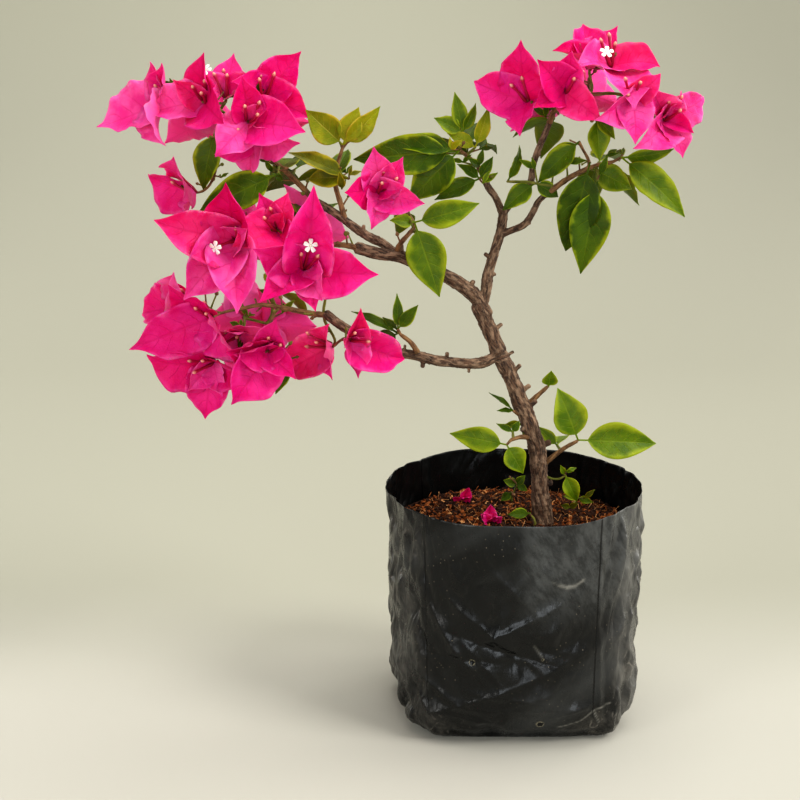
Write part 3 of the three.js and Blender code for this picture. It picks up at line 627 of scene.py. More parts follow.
# %% Leaf masses above and below, and the right boughs' masses
MASSES |= {
    "young_leaves": mass_of(
        [(-106, 1, 315), (-109, 2, 326), (-112, 0, 338), (-111, -2, 348), (-108, -4, 358)],
        (YOUNG, OLIVE, MID),
        shoot(-107, -4, 362, (-74, 43, 31, -10, 0.64), (54, 64, 25, 0, 0.66), (75, 41, 33, 30, 0.44)),
        shoot(-104, -6, 342, (-87, 31, 40, 30, 0.36), (-90, 4, 28, 0, 0.5)),
        shoot(-112, 2, 340, (170, 45, 34, 0, 0.5), (230, 10, 30, 20, 0.5)),
    ),
    "inner_leaves": mass_of(
        [(-20.5, 10, 340), (-25, 9, 348), (-30, 6, 353), (-36, 3, 358)], (MID, FRESH, YOUNG, MID, DEEP),
        shoot(-37, 1, 358, (-80, -3, 66, -12, 0.4), (-86, 12, 46, 20, 0.36), (-76, -41, 44, 4, 0.6)),
        shoot(-35, 4, 369, (-59, 80, 25, 10, 0.44), (-72, 28, 20, 0, 0.6), (70, 58, 20, 30, 0.4)),
        shoot(-27, 4, 360, (66, 66, 26, 30, 0.4), (-68, 30, 20, 0, 0.5)),
        shoot(-24, 4, 341, (-77, -20, 31, 8, 0.42), (-80, 39, 17, 20, 0.5), (75, 60, 16, 0, 0.5)),
        shoot(-32, 18, 358, (170, 30, 46, 0, 0.5), (215, 0, 44, 20, 0.5), (140, 10, 34, 20, 0.5)),
    ),
    "right_blooms": mass_of(
        [(18.5, 12, 374), (21, 11, 381), (28, 7, 387), (38, 4, 391), (49, 2, 392)], (MID, FRESH),
        bloom(25, -16, 394, -6, 6, (-42, 29), (6, 27), (132, 30), (240, 24)),
        bloom(4, 0, 388, -35, 8, (6, 38), (162, 27), (284, 35)),
        bloom(42, 12, 406, 0, 60, (-3, 31), (42, 31), (270, 26)),
        bloom(53, 2, 408, 18, 38, (104, 30), (180, 42), (250, 34)),
        bloom(64, -16, 391, 8, 0, (50, 22), (184, 30), (243, 33)),
        bloom(86, 0, 377, 30, 5, (66, 30), (168, 26), (238, 36), (308, 32)),
        bloom(44, 34, 390, 180, 15, (0, 34), (120, 34), (240, 34)),
        bloom(20, 26, 382, 215, 5, (20, 26), (140, 28), (260, 26)),
        bloom(70, 26, 384, 130, 10, (10, 28), (130, 30), (250, 30)),
        shoot(43, -18, 379, (43, -77, 26, -15, 0.6), (65, -40, 18, 0, 0.5)),
        shoot(22, 20, 376, (185, -25, 40, 10, 0.5), (-120, -10, 30, 0, 0.5)),
    ),
    "right_leaves": mass_of(
        [(18.5, -3, 334), (26, -5, 340), (34, -6, 345), (43, -6, 349), (54, -8, 352)],
        (MID, MID, MID, DEEP, MID, FRESH, FRESH, MID),
        shoot(35, -6, 364, (-77, -39, 36, 6, 0.46), (-96, -36, 26, 0, 0.5)),
        shoot(9, -4, 339, (-78, -35, 26, 8, 0.56), (81, -25, 18, 0, 0.6)),
        shoot(-7, 7, 339, (80, 59, 25, 40, 0.34)),
        shoot(41, -12, 352, (-74, -76, 60, 0, 0.46)),
        shoot(46, -12, 341, (-54, -79, 58, 0, 0.46)),
        shoot(43, -5, 348, (76, -24, 29, 10, 0.6)),
        shoot(60, -10, 355, (66, -35, 54, -4, 0.4), (90, 2, 34, 50, 0.4)),
        shoot(50, 16, 350, (160, 10, 50, 0, 0.46), (125, -30, 46, 20, 0.46), (200, -50, 46, 0, 0.46)),
    ),
}
print(len(MASSES), "masses")

# %% Small shoots on the wood, and plants that sprout from the mix
MIX_TOP = 122
SOIL_START = 122.45
MASSES |= {
    "bough_shoot": mass_of(
        [(-62, -20, 238), (-66, -21, 244), (-72, -22, 249)], (MID, DEEP),
        shoot(-74, -23, 253, (0, 88, 22, 10, 0.34), (76, 50, 20, 10, 0.44)),
        shoot(-74, -22, 250, (-90, 32, 32, 30, 0.24), (-75, -25, 19, 0, 0.7)),
    ),
    "base_shoot_left": mass_of(
        [(9, -5, 180), (3, -8, 181), (-3, -11, 180)], (FRESH, MID),
        shoot(-6, -12, 177, (-84, 14, 37, 0, 0.46), (62, -54, 22, 0, 0.74)),
        shoot(-2, -7, 184, (-95, 30, 12, 20, 0.4), (60, 60, 9, 0, 0.6)),
        shoot(5, 5, 186, (-92, -4, 12, -15, 0.5)),
    ),
    "base_shoot_right": mass_of(
        [(19, -2, 162), (25, -4, 168), (32, -6, 174), (38, -8, 178)], (FRESH, FRESH),
        shoot(39, -8, 179, (-80, 69, 36, 0, 0.68), (85, 0, 53, 0, 0.48)),
        shoot(27, 1, 173, (-81, 47, 19, 10, 0.44), (160, 15, 32, 0, 0.5)),
    ),
    "trunk_stub": mass_of(
        [(8, -2, 201), (14, -3, 207), (19, -4, 212)], (FRESH, FRESH),
        shoot(20, -5, 213, (10, 60, 12, 0, 0.9)),
    ),
    "trunk_shoot": mass_of(
        [(4, -3, 194), (-1, -6, 197)], (DEEP, DEEP),
        shoot(-2, -6, 197.5, (-80, 46, 20, 60, 0.3), (-60, 12, 12, 40, 0.4)),
    ),
    "foot_shoot": mass_of(
        [(20, -2, 153.5), (24, -4, 152.5), (28, -6, 153), (31, -7, 155)], (FRESH, FRESH),
        shoot(31.5, -7, 156, (58, -59, 20, 0, 0.6), (-50, 60, 8, 0, 0.5)),
    ),
    "low_leaf": mass_of(
        [(13, -9, SOIL_START), (13, -9, 126), (11, -7, 129)], (MID, MID),
        shoot(10, -6, 130, (-95, 0, 15, 20, 0.55)),
    ),
    "rear_seedling": mass_of(
        [(2, 44, SOIL_START), (2, 44, 126), (4, 43, 131), (5, 42, 134)], (MID, DEEP),
        shoot(5, 42, 135, (-72, 22, 10, 0, 0.7), (55, 48, 9, 0, 0.7), (65, -24, 9, 0, 0.6)),
        shoot(1, 42, 129, (-60, -30, 9, 0, 0.7)),
    ),
    "side_seedling": mass_of(
        [(44, 36, SOIL_START), (44, 36, 125), (44.5, 35, 127)], (FRESH, OLIVE),
        shoot(45, 34, 128, (-80, 10, 10, 0, 0.5), (72, -12, 11, 0, 0.5)),
        shoot(38, 20, 126, (-60, 20, 7, 0, 0.6), (60, 30, 7, 0, 0.6)),
    ),
}
print(len(LIMBS), "limbs,", len(MASSES), "masses")

# %% [markdown]
# ## The trunk and boughs
# Bark on a young trunk is a skin with ridges, rings where leaves once sat and short stubs where
# twigs were cut. Separate tubes would meet in hard lines at each fork. A voxel remesh melts the
# tubes into one skin first, as wood grows. Each point then looks up the nearest place along its
# limb, which gives it a UV spot in millimetres and lets ridges be raised along the grain.

# %% Tubes of wood, melted into one skin
STUBS = [  # a limb, the share of its length, the way the stub points, its length and radius
    ("trunk", 0.2, (70, 10), 2.5, 1.6), ("trunk", 0.36, (95, 20), 3.5, 1.5),
    ("trunk", 0.44, (-60, 15), 2.5, 1.7), ("trunk", 0.52, (75, 45), 4.5, 1.2),
    ("trunk", 0.6, (95, 35), 4.0, 1.3), ("trunk", 0.68, (60, 50), 5.0, 1.2),
    ("trunk", 0.76, (100, 30), 3.5, 1.1), ("trunk", 0.88, (85, 40), 3.5, 1.2),
    ("trunk", 0.3, (20, 10), 2.0, 1.6), ("left_bough", 0.2, (30, 70), 3.5, 1.4),
    ("left_bough", 0.4, (-20, 75), 4.0, 1.2), ("left_bough", 0.55, (10, -60), 3.0, 1.2),
    ("left_bough", 0.7, (-10, 80), 4.0, 1.1), ("lower_bough", 0.22, (0, -80), 2.5, 1.0),
    ("lower_bough", 0.34, (20, 80), 3.0, 1.0), ("lower_bough", 0.46, (-20, -75), 3.0, 1.2),
    ("lower_bough", 0.56, (10, 75), 3.0, 1.0), ("lower_bough", 0.7, (0, -70), 2.5, 1.0),
    ("right_bough", 0.3, (80, 30), 2.5, 1.1), ("right_bough", 0.5, (-75, 35), 3.0, 1.1),
    ("right_bough", 0.72, (85, 40), 2.5, 1.0), ("right_upper_bough", 0.35, (-80, 40), 2.5, 0.9),
    ("right_upper_bough", 0.62, (85, 45), 2.5, 0.9), ("right_side_bough", 0.5, (0, -70), 2.0, 0.9),
    ("upper_left_bough", 0.4, (0, 80), 3.0, 0.9),
]


ROOT_FLARE = 1.9
FLARE_HEIGHT = 9


def limb_radii(name, route):
    """A limb's taper with slight knots, and the trunk's flare at its roots."""
    share = np.linspace(0, 1, len(route))
    root, tip = LIMBS[name][1]
    radii = root + (tip - root) * share
    length = np.linalg.norm(np.diff(route, axis=0), axis=1).sum()
    if name == "trunk":
        radii = radii + ROOT_FLARE * np.exp(-np.maximum(share * length - 3, 0) / FLARE_HEIGHT)
    knots = 0.045 * np.sin(share * length / 5.3 + len(name)) + 0.03 * np.sin(share * length / 2.1)
    return radii * (1 + knots)


GRAIN_STEP = 1.5  # millimetres between the places along a limb
wood = Heap()
routes = {}
grain = []  # places along the limbs: point, two cross directions, millimetres walked, radius
for name, (points, _) in LIMBS.items():
    route = smooth_route(points, GRAIN_STEP)
    wander = np.array([[noise.noise(Vector(p / 14 + shift)) for shift in (0, 9, 18)] for p in route])
    fade = np.sin(np.linspace(0, np.pi, len(route)))[:, None] ** 0.5
    route = route + wander * fade * (1.1 if name == "trunk" else 0.8)
    radii = limb_radii(name, route)
    tube(wood, route, radii, sides=20)
    routes[name] = route
    _, first, second = frames(route)
    walked = np.arange(len(route)) * GRAIN_STEP
    grain += list(zip(route, first, second, walked, radii))
for i, (limb, share, way, length, radius) in enumerate(STUBS):
    start = routes[limb][int(share * (len(routes[limb]) - 1))]
    inside = limb_radii(limb, routes[limb]).mean()
    reach = np.linspace(0, length + inside, 8)[:, None]
    tube(wood, start + heading(*way) * reach, radius * (1 - 0.15 * wobble(i)), sides=10, close=0.25)
skin = wood.piece("bark_skin", [bark])
print(len(routes), "limbs and", len(STUBS), "stubs")

# %% Melt them into one skin
VOXEL = 0.00055
melt = skin.modifiers.new("melt", "REMESH")
melt.mode = "VOXEL"
melt.voxel_size = VOXEL
melt.use_smooth_shade = True
evaluated = skin.evaluated_get(bpy.context.evaluated_depsgraph_get())
melted = bpy.data.meshes.new_from_object(evaluated)
skin.modifiers.clear()
skin.data = melted
melted.name = "bark_skin"
print(len(melted.vertices), "points on the skin")

# %% Raise the ridges and give every point its spot on the grain
RIDGES, FINE_GRAIN, NODE_RINGS = 0.1, 0.075, 0.2  # how high each stands, as shares of the limb's radius
tree = KDTree(len(grain))
for i, (point, *_) in enumerate(grain):
    tree.insert(Vector(point) * MM, i)
tree.balance()
normals = np.empty(len(melted.vertices) * 3)
melted.vertices.foreach_get("normal", normals)
normals = normals.reshape(-1, 3)
spots = np.empty((len(melted.vertices), 2))
places = np.empty((len(melted.vertices), 3))
for i, vertex in enumerate(melted.vertices):
    _, nearest, _ = tree.find(vertex.co)
    point, first, second, walked, radius = grain[nearest]
    off = np.array(vertex.co) / MM - point
    around = math.atan2(off @ second, off @ first)
    c, s = math.cos(around), math.sin(around)
    ridge = 1 - 2 * abs(noise.noise(Vector((walked * 0.11, c * 2.6, s * 2.6))))
    fine = noise.noise(Vector((walked * 0.5, c * 4.6, s * 4.6)))
    ring = max(0.0, noise.noise(Vector((walked * 0.5, 7.0, 3.0))) - 0.2)
    rise = radius * (RIDGES * ridge + FINE_GRAIN * fine + NODE_RINGS * ring)
    spots[i] = walked + off @ np.cross(first, second), around * radius
    places[i] = np.array(vertex.co) + normals[i] * rise * MM
melted.vertices.foreach_set("co", places.ravel())
corner = np.empty(len(melted.loops), dtype=int)
melted.loops.foreach_get("vertex_index", corner)
layer = melted.uv_layers.new(name="spot")
layer.data.foreach_set("uv", spots[corner].ravel())
melted.materials.clear()
melted.materials.append(bark)
melted.update()
finished(skin, "bark", *LIMBS)

# %% [markdown]
# ## Twigs, leaves, bracts and flowers
# A mass grows as the real one does. Its stem leaves the bough; each new twig starts at the nearest
# place that has already grown, leaves along it and arrives the way its bloom or shoot points. Then
# finer twiglets break from the nodes. One flower head is three bracts, and on the foot of each
# bract sits one slender crimson flower, which opens into a small cream star.

# %% Growing flowers, blooms and leaves
PETALS = 5
STAR_SIZE = 8.4
BRACT_WIDTH = 0.85  # as a share of its length
WIDEST_BRACT = 36
BRACT_OPENING = 43  # degrees between the bloom's way and the foot of a bract
INNER_OPENING = 27
BRACT_CURL = 37  # degrees that a bract bends outwards from its foot
BRACT_SHADES = (PLAIN, BRIGHT, PLAIN, DARK, BRIGHT, ROSE, PLAIN, BRIGHT)


def star(heap, point, way, size):
    """A cream star of five petals at the mouth of a flower."""
    up = perpendicular(vec(0.1, 0, 1), way)
    for i in range(PETALS):
        radial = spun(up, way, 360 * i / PETALS)
        petal = unit(radial + way * 0.2)
        face = unit(way - radial * 0.2)

        def outline(t):
            return 0.3 + 0.7 * np.sin(np.pi * np.clip(t, 0, 1) ** 1.5 * 0.8)

        blade(heap, point, petal, face, size / 2, size * 0.33, outline, i, STAR, droop=0.4, fold=-0.12,
              ruffle=0.03, rows=8, across=4, thick=0.18)
    tube(heap, np.linspace(point - way * 0.4, point + way * 0.5, 4), 0.55, sides=8, tint=STAR)


def flower(heap, foot, way, length, seed, facing=None):
    """A slender tube, swollen at its foot and closed to a bud or open to a star."""
    t = np.linspace(0, 1, 12)
    bow = perpendicular(vec(wobble(seed), wobble(seed + 1), wobble(seed + 2)), way)
    route = foot + way * length * t[:, None] + bow * (np.sin(np.pi * t) * 0.5)[:, None]
    swell = 0.75 + 0.35 * np.exp(-((t - 0.22) / 0.16) ** 2) + 0.42 * np.exp(-((t - 0.9) / 0.12) ** 2)
    tangents, first, second = frames(route)
    angle = np.linspace(0, 2 * np.pi, 10, endpoint=False)
    flute = 1 + 0.1 * np.cos(5 * angle)
    ends = np.where(t > 0.97, 0.35, 1.0)
    rings = rings_round(route, first, second, angle, (swell * ends)[:, None] * flute)
    spots = np.stack(np.broadcast_arrays(angle / 6, t[:, None]), -1)
    heap.loft(rings, spots, TUBE)
    if facing is not None:
        star(heap, route[-1], unit(tangents[-1] * 0.6 + facing), STAR_SIZE)


def grow_bloom(heaps, tip, seed, opened):
    point, way = tip["point"], tip["way"]
    up = perpendicular(vec(0, 0, 1), way)
    right = np.cross(up, way)
    inner = [
        (angle + 52 + 10 * wobble(seed + i), length * 0.66)
        for i, (angle, length) in enumerate(tip["bracts"]) if wobble(seed + 2.3 * i) > 0.6
    ]
    for i, (angle, length) in enumerate((*tip["bracts"], *inner)):
        s = seed + 3.1 * i
        a = math.radians(angle)
        radial = up * math.cos(a) + right * math.sin(a)
        opening = BRACT_OPENING if i < len(tip["bracts"]) else INNER_OPENING
        opening = math.radians(opening + 6 * wobble(s))
        out = way * math.cos(opening) + radial * math.sin(opening)
        face = way * math.sin(opening) - radial * math.cos(opening)
        tint = BRACT_SHADES[int((wobble(s + 5) + 1) * 4) % len(BRACT_SHADES)]
        width = min(length * BRACT_WIDTH, WIDEST_BRACT) * (1 + 0.08 * wobble(s + 2))
        blade(
            heaps["bracts"], point + radial * 0.8, out, spun(face, out, 9 * wobble(s + 8)), length * 1.03,
            width, bract_outline, s, tint, droop=math.radians(BRACT_CURL + 8 * wobble(s + 3)),
            fold=0.18 + 0.18 * wobble(s + 4), cup=0.42 + 0.24 * wobble(s + 6), ruffle=0.042,
            twist=0.5 * wobble(s + 7), curl=0.9 * wobble(s + 9), rows=28, across=16, thick=0.24,
        )
    for i in range(3):
        s = seed + 4.3 * i
        a = 2 * math.pi * i / 3 + wobble(seed)
        radial = up * math.cos(a) + right * math.sin(a)
        rising = up * (0.75 + 0.3 * wobble(seed + 1)) + right * 0.5 * wobble(seed + 2)
        flower_way = unit(way + radial * 0.3 + rising)
        flower(heaps["flowers"], point + radial * 1.3, flower_way, 17.5 + 2.5 * wobble(s + 9), s)
    if opened:
        azimuth, elevation, length = opened
        flower(heaps["flowers"], point, heading(azimuth, elevation), length, seed, way)


def grow_leaf(heap, point, leaf, seed, tint):
    azimuth, elevation, length, spin, share = leaf
    way = heading(azimuth, elevation)
    front = vec(0, 0.5, 1) if abs(azimuth) > 100 else vec(0, -1, 0.35)
    face = spun(perpendicular(front, way), way, spin)
    blade(
        heap, point - way * 0.5, way, face, length, length * share, leaf_outline, seed, tint,
        droop=math.radians(26 + 10 * wobble(seed)), fold=0.14 + 0.08 * wobble(seed + 4), cup=0.12,
        ruffle=0.014, twist=0.3 * wobble(seed + 7), curl=0.5 * wobble(seed + 9), rows=24, across=12,
        thick=0.3, stalk=LEAF_STALK,
    )


# %% Twigs by the nearest joint


class Joints:
    """Where new twigs may start: points of one mass and the way each one grows."""

    def __init__(self):
        self.points, self.ways = [], []

    def add(self, route):
        tangents, _, _ = frames(route)
        self.points += list(route[1:])
        self.ways += list(tangents[1:])

    def nearest(self, point):
        gaps = np.linalg.norm(np.array(self.points) - point, axis=1)
        i = int(gaps.argmin())
        return self.points[i], self.ways[i]


def twig_route(root, root_way, tip, tip_way, seed):
    reach = np.linalg.norm(tip - root)
    towards = unit(tip - root)
    leaving = unit(root_way * 0.6 + towards * 0.4)
    leave = root + leaving * reach * 0.3 + vec(0, 0, wobble(seed) * reach * 0.06)
    arrive = tip - (towards if tip_way is None else tip_way) * reach * 0.4
    return bezier(root, leave, arrive, tip, max(6, int(reach / 2.2)))


def knuckled(count, radius, tip, seed):
    """Radii along a twig that swells a little at its nodes."""
    t = np.linspace(0, 1, count)
    knuckles = 0.13 * np.sin(t * count * 1.9 + 5 * wobble(seed)) ** 8
    return (radius + (tip - radius) * t) * (1 + knuckles + 0.03 * wobble(seed))


def bud(heap, point, way, size, tint):
    """A plump, pointed bud."""
    t = np.linspace(0, 1, 8)
    radii = size * (0.1 + 0.3 * np.sin(np.pi * t**0.7))
    tube(heap, point + way * size * t[:, None], radii, tint=tint)


# %% Growing one mass
BUSHY = {  # a twiglet grows where chance passes this, so less is bushier
    "top_left_blooms": 0.0, "middle_left_blooms": -0.1, "lower_left_blooms": -0.1, "right_blooms": 0.0,
    "young_leaves": -0.1, "inner_leaves": 0.1, "centre_shoot": 0.4, "right_leaves": 0.5,
    "trunk_stub": 1.0, "base_shoot_left": 1.0,
}
LEAFY_FROM = -4  # among blooms the pairs of young leaves stay behind them
SLIGHT_SHOOTS = {"foot_shoot", "low_leaf", "rear_seedling", "side_seedling"}
OPEN_FLOWERS = {  # by the bloom's number in its mass: azimuth, elevation and length of the open flower
    "top_left_blooms": {2: (13, 77, 19), 7: (190, 40, 17)},
    "middle_left_blooms": {0: (16, 42, 24), 2: (-38, -8, 18), 4: (150, 45, 17)},
    "lower_left_blooms": {7: (180, 40, 17)},
    "right_blooms": {3: (-17, 35, 15.5), 6: (170, 50, 17)},
}


def twiglets(heaps, joints, seed, greens, chance):
    """Finer growth at the nodes: short spurs, each with a bud or a pair of narrow young leaves."""
    for i in range(1, len(joints.points), 2):
        s = seed + 1.7 * i
        if wobble(s) < chance:
            continue
        point, way = joints.points[i], joints.ways[i]
        sideways = spun(perpendicular(vec(0, 0, 1), way), way, 180 * wobble(s + 1))
        aim = unit(way * 0.6 + sideways + vec(0, 0, 0.5))
        length = 6.5 + 4 * wobble(s + 2)
        end = point + aim * length
        route = bezier(point, point + way * 1.5, end - aim * 2, end, 6)
        tint = GREEN if wobble(s + 3) > 0.3 else BROWN
        tube(heaps["twigs"], route, knuckled(len(route), 0.62, 0.45, s), sides=6, tint=tint)
        if wobble(s + 8) > 0.1 or (heaps["flowers"].points and end[1] < LEAFY_FROM):
            bud(heaps["twigs"], end, aim, 2.6 + wobble(s + 4), GREEN if wobble(s + 9) > 0 else BROWN)
            continue
        tint = greens[int(abs(wobble(s + 4)) * len(greens)) % len(greens)]
        azimuth = math.degrees(math.atan2(aim[0], -aim[1]))
        for k in range(2):
            way = heading(azimuth + 80 * k + 30 * wobble(s + k), 40 + 30 * wobble(s + 5 + k))
            size = 9 + 4 * wobble(s + 6 + k)
            face = perpendicular(vec(0, -1, 0.4), way)
            blade(heaps["leaves"], end, way, face, size, size * 0.42, leaf_outline, s + k, tint, droop=0.5,
                  fold=0.3, rows=8, across=4, thick=0.25, stalk=LEAF_STALK)


def grow_mass(name, mass, seed):
    heaps = {kind: Heap() for kind in ("twigs", "leaves", "bracts", "flowers")}
    joints = Joints()
    route = smooth_route(mass["stem"], 2.0)
    is_slight = name in SLIGHT_SHOOTS
    stem_radii = (0.8, 0.6) if is_slight else (1.8, 1.1)
    twig_radii = (0.6, 0.45) if is_slight else (1.0, 0.75)
    tint = GREEN if is_slight else BROWN
    tube(heaps["twigs"], route, knuckled(len(route), *stem_radii, seed), sides=10, tint=tint)
    joints.add(route)
    for i, tip in enumerate(mass["tips"]):
        root, root_way = joints.nearest(tip["point"])
        route = twig_route(root, root_way, tip["point"], tip.get("way"), seed + i)
        tint = GREEN if i % 3 else BROWN
        tube(heaps["twigs"], route, knuckled(len(route), *twig_radii, seed + i), tint=tint)
        joints.add(route)
        if "bracts" in tip:
            grow_bloom(heaps, tip, seed + 10 * i, OPEN_FLOWERS.get(name, {}).get(i))
            continue
        tint = mass["greens"][i % len(mass["greens"])]
        for k, leaf in enumerate(tip["leaves"]):
            grow_leaf(heaps["leaves"], tip["point"], leaf, seed + 10 * i + k, tint)
    twiglets(heaps, joints, seed + 50, mass["greens"], BUSHY.get(name, 0.8))
    return heaps


# %% Growing every mass
KINDS = {  # the finishes and the material slot of each kind
    "twigs": (TWIGS, "bark"), "leaves": (LEAVES, "leaf"), "bracts": (BRACTS, "bract"),
    "flowers": (FLOWERS, "flower"),
}
for i, (name, mass) in enumerate(MASSES.items()):
    heaps = grow_mass(name, mass, 100 * (i + 1))
    made = [(kind, heap) for kind, heap in heaps.items() if heap.points]
    for kind, heap in made:
        finishes, slot = KINDS[kind]
        piece = heap.piece(f"{name}_{kind}", finishes)
        finished(piece, slot, *([name] if kind == made[-1][0] else []))

# %% [markdown]
# ## The grow bag
# The bag is a tube of thin black film, flat once, now filled out until it is round at the rim and
# nearly square at its foot, where the corners are pinched and folded under. Its skin is never
# smooth: soft folds cross the front, crumples cover the flanks and dust settles on both. Cloth
# simulation would need a long settling time, so the film is a loft whose rows follow the filled
# shape, with folds and crumples raised by formulas. The wall is a closed shell: up the outside,
# over the rim and down the inside. Below the compost the inner face stands well back from the outer
# one, where nothing sees it, so that no crumple cuts through it.

# %% The filled shape
BAG_HEIGHT = 145
BAG_RADIUS = 81
BASE_HALF_WIDTH = 61
RIM_RISE = 4.5
FILM = 0.35
AROUND = 480
PROFILE = [  # height, half width, squareness
    (0, BASE_HALF_WIDTH - 5, 1.6),
    (3, BASE_HALF_WIDTH, 1.4),
    (10, BASE_HALF_WIDTH + 7.5, 0.9),
    (26, BAG_RADIUS - 4.5, 0.45),
    (60, BAG_RADIUS - 3.5, 0.22),
    (105, BAG_RADIUS - 1.5, 0.06),
    (BAG_HEIGHT, BAG_RADIUS, 0.0),
]
heights, half_widths, squares = (np.array(column) for column in zip(*PROFILE))


def grid_chance(a, b, seed):
    """A repeatable number from 0 to 1 for each corner of a grid."""
    s = np.sin(a * 127.1 + b * 311.7 + seed * 74.7) * 43758.5453
    return s - np.floor(s)


def in_cell(x, y):
    """The cell that each place lies in, and how far across and up it is there."""
    xi, yi = np.floor(x).astype(int), np.floor(y).astype(int)
    return xi, yi, x - xi, y - yi


def value_noise(x, y, seed):
    """Smooth noise on a grid of chance values, worked out for whole arrays at once."""
    xi, yi, fx, fy = in_cell(x, y)
    fx, fy = fx * fx * (3 - 2 * fx), fy * fy * (3 - 2 * fy)
    low = grid_chance(xi, yi, seed) * (1 - fx) + grid_chance(xi + 1, yi, seed) * fx
    high = grid_chance(xi, yi + 1, seed) * (1 - fx) + grid_chance(xi + 1, yi + 1, seed) * fx
    return 2 * (low * (1 - fy) + high * fy) - 1


def facets(x, y, seed):
    """Flat three-sided planes that meet in sharp creases, as film does where it is crumpled."""
    x = x + 0.3 * value_noise(x / 2, y / 2, seed + 2) + 0.5 * y
    y = y + 0.3 * value_noise(x / 2 + 7, y / 2, seed + 3)
    xi, yi, fx, fy = in_cell(x, y)
    low, high = grid_chance(xi, yi, seed), grid_chance(xi + 1, yi + 1, seed)
    right, left = grid_chance(xi + 1, yi, seed), grid_chance(xi, yi + 1, seed)
    lower = low + (right - low) * fx + (high - right) * fy
    upper = low + (high - left) * fx + (left - low) * fy
    return 2 * np.where(fx > fy, lower, upper) - 1


def hill(distance, width):
    return np.exp(-((distance / width) ** 2))


def crease(distance, width):
    return np.exp(-np.abs(distance) / width)


# %% Creases, crumples and the rim
FOLD_LINES = ((44.8, 0.022), (-55.1, -0.022))  # across at the ground, then the lean
CREASES = [  # soft folds across the front: around and height of both ends, how high, how wide
    (-58, 90, -34, 57, 2.0, 3.0), (-46, 97, 14, 52, 1.7, 3.6), (26, 96, -30, 68, 1.5, 3.6),
    (-62, 60, -6, 58, -1.3, 2.4), (12, 51, 46, 64, 0.7, 3.4), (-78, 40, -46, 12, 2.2, 2.4),
    (-74, 50, -34, 26, 1.9, 2.6), (-60, 24, -18, 16, 1.5, 2.4), (-30, 38, 18, 30, 1.3, 3.4),
    (10, 34, 52, 44, 0.6, 3.4), (-20, 118, 8, 92, 0.9, 4.0), (6, 122, 40, 96, 0.8, 4.0),
    (-40, 76, -12, 44, 1.2, 2.2), (-8, 74, 22, 62, -1.1, 2.2), (20, 20, 50, 30, 1.2, 2.2),
    (-48, 126, -34, 98, 0.8, 3.4),
]
CROSSED = [  # two long creases: rise, height at the middle, slope, width, where strongest, how far it runs
    (1.8, 44, 0.42, 2.6, -20, 42), (-1.8, 62, -0.3, 2.2, -8, 34),
]
# The crumples in layers: how high each stands all over, then how much more in the middle, low down, low
# at the left, on a flank and at the back; the facets' width and height, how much taller they are on a
# flank, their lean, and a seed.
CRUMPLES = [
    (0.7, 2.2, 2.0, 2.3, 0, 0, 32, 15, 0, 0, 3),
    (0.35, 1.4, 1.3, 1.6, 2.1, 0, 13, 11, 7, 0, 8),
    (0.12, 0.5, 0.5, 0.9, 1.5, 0, 6, 13, 0, -1 / 22, 21),
    (0, 0, 0, 0, 0, 1.4, 15, 12, 0, 0, 44),
    (0, 0, 0, 0, 0, 0.8, 7, 15, 0, 0, 45),
    (0, 0, 0, 0, 1.1, 0, 7, 26, 0, 1 / 12, 30),
]


def film_relief(angle, height):
    """How far the film stands off the filled shape; angle is 0 at the front and grows to the right."""
    x = angle * BAG_RADIUS
    side = np.minimum(np.abs(angle), np.pi - np.abs(angle))
    flank = np.clip((side - 0.66) / 0.25, 0, 1)
    low = np.clip((46 - height) / 46, 0, 1)
    middle = hill(height - 64, 24) * hill(x + 14, 55)
    left = np.clip(0.5 - x / 60, 0, 1)
    back = np.clip((np.abs(angle) - 2.1) / 0.5, 0, 1)
    relief = 0.0
    for *rises, broad, tall, taller, lean, seed in CRUMPLES:
        stand = sum(rise * place for rise, place in zip(rises, (1, middle, low, low * left, flank, back)))
        relief = relief + stand * facets(x / broad + height * lean, height / (tall + taller * flank), seed)
    for rise, start, slope, width, centre, run in CROSSED:
        relief += rise * crease(height - (start + slope * x), width) * hill(x - centre, run)
    relief -= 1.2 * hill(x + 6, 26) * hill(height - 68, 6)
    across = np.interp(height, heights, half_widths) * np.sin(angle)
    for start, lean in FOLD_LINES:
        outwards = np.sign(start)
        gap = (across - start - lean * height) * outwards
        relief += 0.8 * crease(gap, 1.3) - 0.8 * crease(gap - 4, 3.0)
        flap = np.clip(1 - np.abs(gap - 10) / 15, 0, 1) * np.clip(1 - height / 27, 0, 1)
        relief += 4.0 * np.minimum(flap, 0.5)
    for x1, z1, x2, z2, rise, width in CREASES:
        along = vec(x2 - x1, z2 - z1)
        share = np.clip(((x - x1) * along[0] + (height - z1) * along[1]) / (along @ along), 0, 1)
        gap = ((x - x1) * along[1] - (height - z1) * along[0]) / np.linalg.norm(along)
        ends = np.hypot(x - x1 - share * along[0], height - z1 - share * along[1])
        fade = hill(ends, 3 * width) * np.sin(np.pi * (0.12 + 0.76 * share))
        relief += rise * fade * (crease(gap, width) - 0.5 * crease(gap - 2.2 * width, 1.6 * width))
    return relief * (1 - 0.5 * np.clip((height - 128) / 17, 0, 1))  # the rim is pulled half smooth


PAINTED_GLINTS = [  # pale painted highlights along creases: across and height of both ends, half width, how pale
    (18, 110.5, 22, 108, 0.6, 0.2), (22, 108, 27, 106.3, 0.9, 0.7), (27, 106.3, 32, 106.6, 1.0, 0.9),
    (32, 106.6, 37, 109.4, 0.8, 0.7), (46, 24, 57, 26, 0.45, 0.4), (46, 24, 38, 17, 0.45, 0.4),
    (38, 17, 24, 12.5, 0.4, 0.35), (46, 24, 50, 14, 0.45, 0.4), (8, 69, 13, 61.5, 0.6, 0.2),
]


